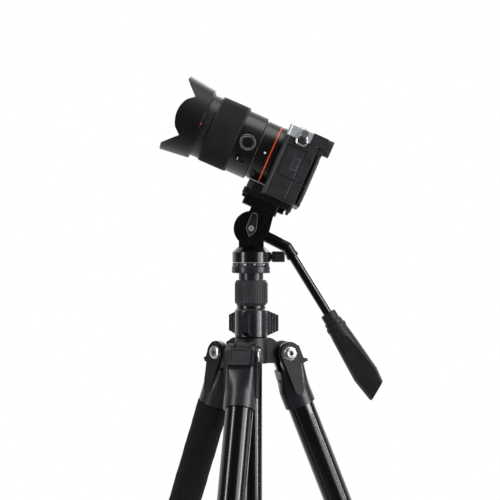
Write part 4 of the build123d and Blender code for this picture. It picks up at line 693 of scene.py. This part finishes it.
def makePowerRing():
    p = powerRing
    low, high = localBox("shutter_button", tiltFrame)
    middle = Vector(((low.x + high.x) / 2, (low.y + high.y) / 2, 0))
    inner = (high.x - low.x) / 2 + p["gap"]
    outer, tall, edge, sunk = inner + p["wide"], p["tall"], p["edge"], p["sunk"]
    root = outer - p["overlap"]
    seat = touch("camera_top_cover", tiltFrame, middle + Vector((0, root, high.z + clear)), (0, 0, -1)).z
    profile = [(inner, -sunk), (outer, -sunk), (outer, tall - edge), (outer - edge, tall), (inner + edge, tall),
               (inner, tall - edge)]
    outline = roundedRectangle(root, outer + p["lever"], -p["leverHalf"], p["leverHalf"], p["leverCorner"])
    lever = slab(outline, p["leverFoot"], p["leverTall"])
    lever.transform(Matrix.Rotation(math.radians(p["turn"]), 4, "Z"))
    ring = joinMeshes([lathe(profile, 72), lever])
    place = tiltFrame @ Matrix.Translation(middle + Vector((0, 0, seat)))
    finishPiece("powerSwitchRing", ring, "camera", "silver", place, p["bevel"])


releaseButton = {"below": 2.0 * mm, "out": 29.5 * mm, "radius": 4.2 * mm, "rise": 1.3 * mm, "edge": 0.45 * mm,
                 "sunk": 0.4 * mm}


def makeLensRelease():
    # round button beside the mount that frees the lens
    r = releaseButton
    start = (bodyLow.x - clear, lensFoot.y - r["out"], lensFoot.z - r["below"])
    spot = touch("camera_body", tiltFrame, start, (1, 0, 0))
    place = axesFrame(tiltFrame, spot, (0, -1, 0), (0, 0, 1))
    hollow = [(r["radius"] * 0.6, r["rise"] * 0.9), (0, r["rise"] * 0.8)]
    cap = lathe(capProfile(r["radius"], r["sunk"], r["rise"], r["edge"], hollow), 56)
    finishPiece("lensReleaseButton", cap, "camera", "darkSteel", place)


dialMarks = {"count": 10, "reach": 6.6 * mm, "long": 1.5 * mm, "wide": 0.35 * mm, "rise": 0.06 * mm,
             "sunk": 0.05 * mm, "chamfer": 0.05 * mm}


def makeDialMarks():
    d = dialMarks
    low, high = localBox("mode_dial", tiltFrame)
    mark = bar(d["long"], d["wide"], d["rise"] + d["sunk"], d["chamfer"])
    marks = copiesMesh("ring", d["count"], d["reach"], mark, "white")
    centre = Matrix.Translation(((low.x + high.x) / 2, (low.y + high.y) / 2, high.z - d["sunk"]))
    finishPiece("modeDialMarks", marks, "mode_dial", "white", tiltFrame @ centre)


# lens

lensTrim = {
    "lensOrange": {"z0": 11.1 * mm, "z1": 12.4 * mm, "proud": 0.3 * mm, "finish": "orange"},
    "lensGrooveLine": {"z0": 24.5 * mm, "z1": 25.1 * mm, "proud": 0.25 * mm, "finish": "greyMarkAndHighlight"},
    "lensFrontBand": {"z0": 75.0 * mm, "z1": 82.2 * mm, "proud": 0.3 * mm, "finish": "lensBand"},
    "lensMountRing": {"z0": 6.2 * mm, "z1": 7.4 * mm, "proud": 0.3 * mm, "finish": "darkSteel"},
}
trimCut = {"sunk": 0.3 * mm, "edge": 0.12 * mm, "steps": 144}


def lensRadius(station):
    hit = touch("lens_barrel", lensFrame, (0, clear, station), (0, -1, 0))
    return math.hypot(hit.x, hit.y)


def onLens(node, spot):
    # frame on the lens's round side at a station and an angle, z outward
    turn = math.radians(spot["angle"])
    out, along = Vector((math.cos(turn), math.sin(turn), 0)), Vector((0, 0, 1))
    hit = touch(node, lensFrame, out * clear + along * spot["station"], -out)
    return axesFrame(lensFrame, hit, along, out.cross(along))


def makeLensTrim():
    for name, t in lensTrim.items():
        radius = lensRadius((t["z0"] + t["z1"]) / 2)
        profile = bandProfile(radius - trimCut["sunk"], radius + t["proud"], t["z0"], t["z1"], trimCut["edge"])
        finishPiece(name, lathe(profile, trimCut["steps"]), "camera", t["finish"], lensFrame)


focusRibs = {"count": 260, "z0": 47.8 * mm, "z1": 72.4 * mm, "wide": 0.48 * mm, "rise": 0.28 * mm,
             "chamfer": 0.15 * mm}


def makeFocusRibs():
    f = focusRibs
    low, high = localBox("focus_ring", lensFrame)
    rib = bar(2 * f["rise"], f["wide"], f["z1"] - f["z0"], f["chamfer"])
    ribs = copiesMesh("ring", f["count"], (high.y - low.y) / 2, rib, "focusRubber")
    place = lensFrame @ Matrix.Translation((0, 0, f["z0"]))
    finishPiece("focusRingRibs", ribs, "focus_ring", "focusRubber", place)


holdRingHighlights = {"station": 35.6 * mm, "angle": -90, "radii": (5.75 * mm, 7.2 * mm), "wide": 0.28 * mm,
               "rise": 0.25 * mm, "sunk": 0.1 * mm, "steps": 72, "beside": 9.0 * mm}


def wrappedRing(radius, base):
    # thin ring lying on the barrel's round side
    b = holdRingHighlights
    far = radius + b["wide"]
    section = ((radius, -b["sunk"]), (radius, b["rise"]), (far, b["rise"]), (far, -b["sunk"]))
    loops = []
    for t in turns(b["steps"]):
        loop = []
        for r, h in section:
            turn = math.radians(b["angle"]) + r * math.sin(t) / base
            reach = base + h
            loop.append((reach * math.cos(turn), reach * math.sin(turn), b["station"] + r * math.cos(t)))
        loops.append(loop)
    return bridgeLoops(loops)


lensDots = {
    "hoodDot": {"node": "lens_hood", "body": "lens_hood", "station": 83.4 * mm, "angle": -94,
                "radius": 0.95 * mm, "finish": "red"},
    "rearDot": {"node": "lens_barrel", "body": "camera", "station": 16.8 * mm, "angle": -95,
                "radius": 1.05 * mm, "finish": "white"},
}
dotCut = {"sunk": 0.2 * mm, "edge": 0.05 * mm, "rise": 0.1 * mm, "steps": 32}


def makeLensMarks():
    # thin raised rings round the hold button; their light grey is a painted highlight on the rim of its recess
    base = lensRadius(holdRingHighlights["station"] + holdRingHighlights["beside"])
    rings = joinMeshes([wrappedRing(radius, base) for radius in holdRingHighlights["radii"]])
    finishPiece("holdButtonRings", rings, "camera", "greyMarkAndHighlight", lensFrame)
    c = dotCut
    for name, d in lensDots.items():
        profile = [(0, -c["sunk"]), (d["radius"], -c["sunk"]), (d["radius"], c["edge"]), (0, c["rise"])]
        dot = lathe(profile, c["steps"])
        finishPiece(name, dot, d["body"], d["finish"], onLens(d["node"], d))


barrelButton = {"station": 20.3 * mm, "angle": -143, "radius": 3.3 * mm, "rise": 1.2 * mm, "edge": 0.35 * mm,
                "dish": 0.62, "sunk": 0.8 * mm}


def dishedCap(radius, sunk, rise, edge, dish, depth):
    # cap profile with a flat-bottomed dish
    floor = [(dish + edge, rise), (dish, rise - depth), (0, rise - depth)]
    return capProfile(radius, sunk, rise, edge, floor)


def makeBarrelButton():
    # round lock button low on the rear barrel
    b = barrelButton
    profile = dishedCap(b["radius"], b["sunk"], b["rise"], b["edge"], b["radius"] * b["dish"], b["edge"])
    place = onLens("lens_barrel", b)
    finishPiece("barrelButton", lathe(profile, 56), "camera", "lensBand", place)


switchTick = {"station": 38.5 * mm, "angle": -122, "wide": 0.55 * mm, "long": 3.2 * mm, "rise": 0.08 * mm,
              "sunk": 0.1 * mm, "corner": 0.2 * mm}


def makeSwitchTick():
    t = switchTick
    x, y = t["wide"] / 2, t["long"] / 2
    tick = slab(roundedRectangle(-x, x, -y, y, t["corner"]), -t["sunk"], t["rise"])
    finishPiece("switchTick", tick, "lens_switch", "white", onLens("lens_switch", t))


# tripod

legNames = ("front", "right", "left")


def legFrame(name):
    hinge = joints[f"{name}_leg_fold"]
    pin = Vector(hinge["pos_m"])
    azimuth = math.atan2(pin.y, pin.x)
    splay = math.radians(max(abs(v) for v in hinge["range_deg"]))
    return Matrix.Translation(pin) @ Matrix.Rotation(azimuth, 4, "Z") @ Matrix.Rotation(-splay, 4, "Y")


legStrip = {"axisInset": 4.5 * mm, "angle": 72, "reach": 12.55 * mm, "top": -62.0 * mm, "bottom": -358.0 * mm,
            "pitch": 1.7 * mm, "tall": 0.9 * mm, "wide": 3.3 * mm, "rise": 0.3 * mm, "slant": 32,
            "chamfer": 0.12 * mm}


def makeLegStrips():
    s = legStrip
    count = int((s["top"] - s["bottom"]) / s["pitch"])
    tooth = bar(2 * s["rise"], s["wide"], s["tall"], s["chamfer"])
    tooth.transform(Matrix.Rotation(math.radians(s["slant"]), 4, "X"))
    row = copiesMesh("line", count, s["pitch"], tooth, "stripMetal")
    foot = Matrix.Translation((-s["axisInset"], 0, s["bottom"]))
    for name in legNames:
        strips = []
        for side in (-1, 1):
            strip = row.copy()
            turn = Matrix.Rotation(math.radians(side * s["angle"]), 4, "Z")
            strip.transform(foot @ turn @ Matrix.Translation((s["reach"], 0, 0)))
            strips.append(strip)
        pair = joinMeshes(strips)
        finishPiece(f"gripStrips_{name}", pair, f"{name}_leg", "stripMetal", legFrame(name))


boltHead = {"radius": 6.3 * mm, "crown": 1.3 * mm, "socket": 2.3 * mm, "lip": 0.5 * mm, "sunk": 0.1 * mm,
            "steps": 48, "rows": 8, "aim": 4.5 * mm}


def domedHead():
    # round head with a hexagon socket, on its own z axis
    h = boltHead
    inner, low = h["socket"] + h["lip"], -h["sunk"]
    quarter = [math.pi / 2 * k / h["rows"] for k in range(h["rows"] + 1)]
    dome = [(inner + (h["radius"] - inner) * math.cos(t), h["crown"] * math.sin(t)) for t in quarter]
    loops = []
    for turn in turns(h["steps"]):
        flat = h["socket"] * math.cos(math.pi / 6) / math.cos(turn % (math.pi / 3) - math.pi / 6)
        profile = [(h["radius"], low)] + dome + [(flat, h["crown"] - h["sunk"]), (flat, low)]
        loops.append([(r * math.cos(turn), r * math.sin(turn), z) for r, z in profile])
    return bridgeLoops(loops)


def makeBoltHeads():
    # a pair of heads on one hinge, copied round the canopy
    place = legFrame(legNames[0])
    pin = place.translation
    azimuth = Matrix.Rotation(math.atan2(pin.y, pin.x), 4, "Z")
    hinge = Matrix.Translation(pin) @ azimuth
    pair = []
    for side in (-1, 1):
        spot = touch("leg_hinge_bolts", place, (boltHead["aim"], side * clear, 0), (0, -side, 0))
        head = domedHead()
        head.transform(hinge.inverted() @ axesFrame(place, (0, spot.y, 0), (-side, 0, 0), (0, 0, 1)))
        pair.append(head)
    reach = math.hypot(pin.x, pin.y)
    heads = copiesMesh("ring", len(legNames), reach, joinMeshes(pair), "steel")
    level = Matrix.Translation((0, 0, pin.z))
    finishPiece("hingeBoltHeads", heads, "canopy", "steel", level @ azimuth)


foamSleeve = {"wall": 2.6 * mm, "steps": 72, "rows": 90, "round": 2.4 * mm, "roundSteps": 5, "swell": 0.12 * mm,
              "waves": ((170, 1.0, 0), (410, 0.6, 1))}  # radians a metre, share, start


def makeFoam():
    f = foamSleeve
    place = legFrame("left") @ Matrix.Translation((-legStrip["axisInset"], 0, 0))
    low, high = localBox("foam_grip_left", place)
    outer, bend = (high.y - low.y) / 2, f["round"]
    inner = outer - f["wall"]
    quarter = [math.radians(90 * i / f["roundSteps"]) for i in range(f["roundSteps"] + 1)]
    profile = [(inner, low.z)]
    profile += [(outer - bend * (1 - math.sin(a)), low.z + bend * (1 - math.cos(a))) for a in quarter]
    for i in range(1, f["rows"]):
        z = low.z + bend + (high.z - low.z - 2 * bend) * i / f["rows"]
        wave = sum(share * math.sin(z * rate + start) for rate, share, start in f["waves"])
        profile.append((outer + f["swell"] * wave - f["swell"], z))
    profile += [(outer - bend * (1 - math.cos(a)), high.z - bend * (1 - math.sin(a))) for a in quarter]
    profile.append((inner, high.z))
    foam = lathe(profile, f["steps"])
    sleeve = finishPiece("foamSleeve", foam, "left_leg", "foam", place)
    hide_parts("foam_grip_left")


scaleScrews = {"count": 12, "turn": 11, "radius": 0.95 * mm, "rise": 0.3 * mm, "sunk": 0.4 * mm,
               "below": 1.9 * mm}


def makeScaleScrews():
    s = scaleScrews
    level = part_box("pan_base")[0][2] - s["below"]
    reach = touch("head_base", still, (clear, 0, level), (-1, 0, 0)).x
    radius, rise, sunk = s["radius"], s["rise"], s["sunk"]
    profile = [(0, -sunk), (radius, -sunk), (radius, 0.5 * rise), (0.8 * radius, rise), (0.35 * radius, rise),
               (0.3 * radius, 0), (0, 0)]
    head = lathe(profile, 24)
    head.transform(Matrix.Rotation(math.pi / 2, 4, "Y"))
    screws = copiesMesh("ring", s["count"], reach, head, "steel")
    place = Matrix.Translation((0, 0, level)) @ Matrix.Rotation(math.radians(s["turn"]), 4, "Z")
    finishPiece("scaleScrews", screws, "column", "steel", place)


leverHighlightRim = {"edge": 0.2 * mm, "wide": 0.7 * mm, "rise": 0.22 * mm, "sunk": 0.15 * mm, "faceDepth": 0.02 * mm,
            "steps": 96, "leastFacing": 0.2}


def leverOutline(points, inset):
    # the lever face's outline about its middle, drawn in by a margin
    hull = bmesh.new()
    for x, z in points:
        hull.verts.new((x, z, 0))
    bmesh.ops.remove_doubles(hull, verts=hull.verts, dist=1e-6)
    centre = sum((v.co for v in hull.verts), Vector()) / len(hull.verts)
    spots = [v.co - centre for v in hull.verts]
    hull.free()
    angles = turns(leverHighlightRim["steps"])
    sides = [max(q.x * math.cos(a) + q.y * math.sin(a) for q in spots) - inset for a in angles]
    outline = []
    for angle in angles:
        facing = [math.cos(a - angle) for a in angles]
        reach = min(side / f for side, f in zip(sides, facing) if f > leverHighlightRim["leastFacing"])
        outline.append((centre.x + reach * math.cos(angle), centre.y + reach * math.sin(angle)))
    return outline


def makeLeverHighlightRim():
    # raised border round the lever's face; its light grey is a painted highlight along the lever's edge
    r = leverHighlightRim
    spots = [v.co for v in frame["nodes"]["tilt_lock_lever"].data.vertices]
    face = min(v.y for v in spots)
    points = [(v.x, v.z) for v in spots if v.y < face + r["faceDepth"]]
    outer, inner = leverOutline(points, r["edge"]), leverOutline(points, r["edge"] + r["wide"])
    rim = frameSlab(outer, inner, -r["sunk"], r["rise"])
    place = axesFrame(still, (0, face, 0), (1, 0, 0), (0, 0, 1))
    finishPiece("tiltLeverRim", rim, "tilt_lock_lever", "greyTrimAndHighlight", place)


axleCap = {"share": 0.8, "sunk": 0.3 * mm, "rise": 1.4 * mm, "edge": 0.5 * mm, "dish": 0.55, "depth": 0.7 * mm}


def makeAxleCap():
    # moulded cap pressed on the axle's far end
    a = axleCap
    spot = touch("tilt_axle", tiltFrame, (0, clear, 0), (0, -1, 0))
    place = axesFrame(tiltFrame, spot, (0, 0, 1), (1, 0, 0))
    low, high = localBox("tilt_axle", place)
    radius = a["share"] * (high.x - low.x) / 2
    profile = dishedCap(radius, a["sunk"], a["rise"], a["edge"], a["dish"] * radius, a["depth"])
    finishPiece("axleCap", lathe(profile, 72), "tilt_head", "headPlastic", place)


collarBand = {"foot": 0.5 * mm, "tall": 2.6 * mm, "proud": 0.3 * mm, "sunk": 0.4 * mm, "edge": 0.25 * mm,
              "steps": 120}


def makeCollarBand():
    # smooth turned band under the ribbed rubber
    c = collarBand
    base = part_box("column_twist_collar")[0][2] + c["foot"]
    radius = touch("column_twist_collar", still, (clear, 0, base + c["tall"] / 2), (-1, 0, 0)).x
    band = lathe(bandProfile(radius - c["sunk"], radius + c["proud"], 0, c["tall"], c["edge"]), c["steps"])
    place = Matrix.Translation((0, 0, base))
    finishPiece("collarBand", band, "column_twist_collar", "panCoat", place)


makeSideSkin()
makeCreaseHighlight()
makeDoorWindow()
makeStrapPlates()
makeRearControls()
makeScreen()
makeEyepiece()
makeShoeRails()
makeDialMarks()
makePowerRing()
makeLensRelease()
print("camera pieces made")
makeLensTrim()
makeFocusRibs()
makeLensMarks()
makeBarrelButton()
makeSwitchTick()
print("lens pieces made")
makeLegStrips()
makeBoltHeads()
makeFoam()
makeScaleScrews()
makeLeverHighlightRim()
makeAxleCap()
makeCollarBand()
print("tripod pieces made")


# camera and light, as in the photograph

view = {"distance": 1.6, "width": 0.481, "side": -0.0012, "aboveTiltAxis": -0.0205, "sensorMm": 36.0,
        "farEnd": 50}


def setCamera():
    data = bpy.data.cameras.new("photoView")
    data.sensor_width = view["sensorMm"]
    data.lens = view["sensorMm"] * view["distance"] / view["width"]
    data.clip_end = view["farEnd"]
    camera = bpy.data.objects.new("photoView", data)
    bpy.context.collection.objects.link(camera)
    camera.location = (view["side"], -view["distance"], pivot.z + view["aboveTiltAxis"])
    camera.rotation_euler = (math.pi / 2, 0, 0)
    bpy.context.scene.camera = camera


studio = {
    "leftStrip": {"place": (-1.25, -1.0, 0.85), "size": (0.22, 1.7), "watts": 18, "target": (0, 0, 0.5)},
    "rightBox": {"place": (1.4, -0.9, 0.85), "size": (0.9, 1.7), "watts": 24, "target": (0, 0, 0.5)},
    "rightStrip": {"place": (1.3, -0.5, 0.85), "size": (0.16, 1.7), "watts": 14, "target": (0, 0, 0.5)},
    "topBox": {"place": (0.0, -0.2, 1.9), "size": (1.5, 0.9), "watts": 15, "target": (0, 0, 0.4)},
    "backBox": {"place": (0.6, 1.6, 1.1), "size": (1.0, 1.4), "watts": 16, "target": (0, 0, 0.5)},
}


backdrop = {"fill": 0.06, "from": 0.05, "to": 0.55}


def setLight():
    for name, lamp in studio.items():
        data = bpy.data.lights.new(name, "AREA")
        data.shape, data.size, data.size_y = "RECTANGLE", *lamp["size"]
        data.energy = lamp["watts"]
        item = bpy.data.objects.new(name, data)
        bpy.context.collection.objects.link(item)
        item.location = lamp["place"]
        item.rotation_euler = (Vector(lamp["target"]) - item.location).to_track_quat("-Z", "Y").to_euler()
    world = bpy.data.worlds.new("whiteStudio")
    bpy.context.scene.world = world
    world.use_nodes = True
    tree = world.node_tree
    tree.nodes.clear()
    ray = addNode(tree, "ShaderNodeLightPath").outputs
    # white to the eye and through glass; in reflections only behind the object
    heading = addNode(tree, "ShaderNodeTexCoord").outputs["Generated"]
    way = addNode(tree, "ShaderNodeSeparateXYZ", {"Vector": heading}).outputs["Y"]
    reach = {"Value": way, "From Min": backdrop["from"], "From Max": backdrop["to"]}
    behind = addNode(tree, "ShaderNodeMapRange", reach).outputs["Result"]
    mirrored = addNode(tree, "ShaderNodeMath", {0: ray["Is Glossy Ray"], 1: behind}, operation="MULTIPLY")
    direct = {0: ray["Is Camera Ray"], 1: ray["Is Transmission Ray"]}
    seen = addNode(tree, "ShaderNodeMath", direct, operation="MAXIMUM")
    mixed = addNode(tree, "ShaderNodeMath", {0: seen.outputs[0], 1: mirrored.outputs[0]}, operation="MAXIMUM")
    paper = hexColour("#ffffff")
    fill = addNode(tree, "ShaderNodeBackground", {"Color": paper, "Strength": backdrop["fill"]})
    white = addNode(tree, "ShaderNodeBackground", {"Color": paper, "Strength": 1.0})
    blend = addNode(tree, "ShaderNodeMixShader", {0: mixed.outputs[0], 1: fill.outputs[0], 2: white.outputs[0]})
    addNode(tree, "ShaderNodeOutputWorld", {"Surface": blend.outputs[0]})
    bpy.context.scene.view_settings.view_transform = "Standard"


floorSet = {"radius": 1.6, "sides": 96, "fadeFrom": 0.45, "fadeTo": 1.15, "darkFrom": -0.6, "paleTo": 0.3,
            "least": 0.1}


def setFloor():
    f = floorSet
    ring = [(f["radius"] * math.cos(a), f["radius"] * math.sin(a), 0) for a in turns(f["sides"])]
    mesh = bpy.data.meshes.new("studioFloor")
    mesh.from_pydata(ring, [], [list(range(f["sides"]))])
    floor = bpy.data.objects.new("studioFloor", mesh)
    bpy.context.collection.objects.link(floor)
    # matt painted floor that runs out into the white backdrop and keeps the shadow round the feet
    material, tree, shader, place = startMaterial("paleStudioFloor", Roughness=0.85)
    mottle(tree, place, shader, "#efefed", "#f3f3f1", 300.0)
    ray = addNode(tree, "ShaderNodeLightPath").outputs
    away = addNode(tree, "ShaderNodeVectorMath", {0: place}, operation="LENGTH").outputs["Value"]
    reach = {"Value": away, "From Min": f["fadeFrom"], "From Max": f["fadeTo"]}
    fade = addNode(tree, "ShaderNodeMapRange", reach, interpolation_type="SMOOTHSTEP").outputs["Result"]
    seen = addNode(tree, "ShaderNodeMath", {0: fade, 1: ray["Is Camera Ray"]}, operation="MULTIPLY")
    paper = hexColour("#ffffff")
    white = addNode(tree, "ShaderNodeEmission", {"Color": paper, "Strength": 1.0})
    ground = addNode(tree, "ShaderNodeMixShader", {0: seen.outputs[0], 1: shader.outputs[0], 2: white.outputs[0]})
    # reflections see it dark on the near side, as black cards beside a studio table do
    depth = addNode(tree, "ShaderNodeSeparateXYZ", {"Vector": place}).outputs["Y"]
    cards = {"Value": depth, "From Min": f["darkFrom"], "From Max": f["paleTo"], "To Min": f["least"]}
    strength = addNode(tree, "ShaderNodeMapRange", cards).outputs["Result"]
    mirrored = addNode(tree, "ShaderNodeEmission", {"Color": paper, "Strength": strength})
    sides = {0: ray["Is Glossy Ray"], 1: ground.outputs[0], 2: mirrored.outputs[0]}
    whole = addNode(tree, "ShaderNodeMixShader", sides)
    tree.links.new(whole.outputs[0], tree.nodes["Material Output"].inputs["Surface"])
    mesh.materials.append(material)


setCamera()
setLight()
setFloor()
print("camera, light and floor set")
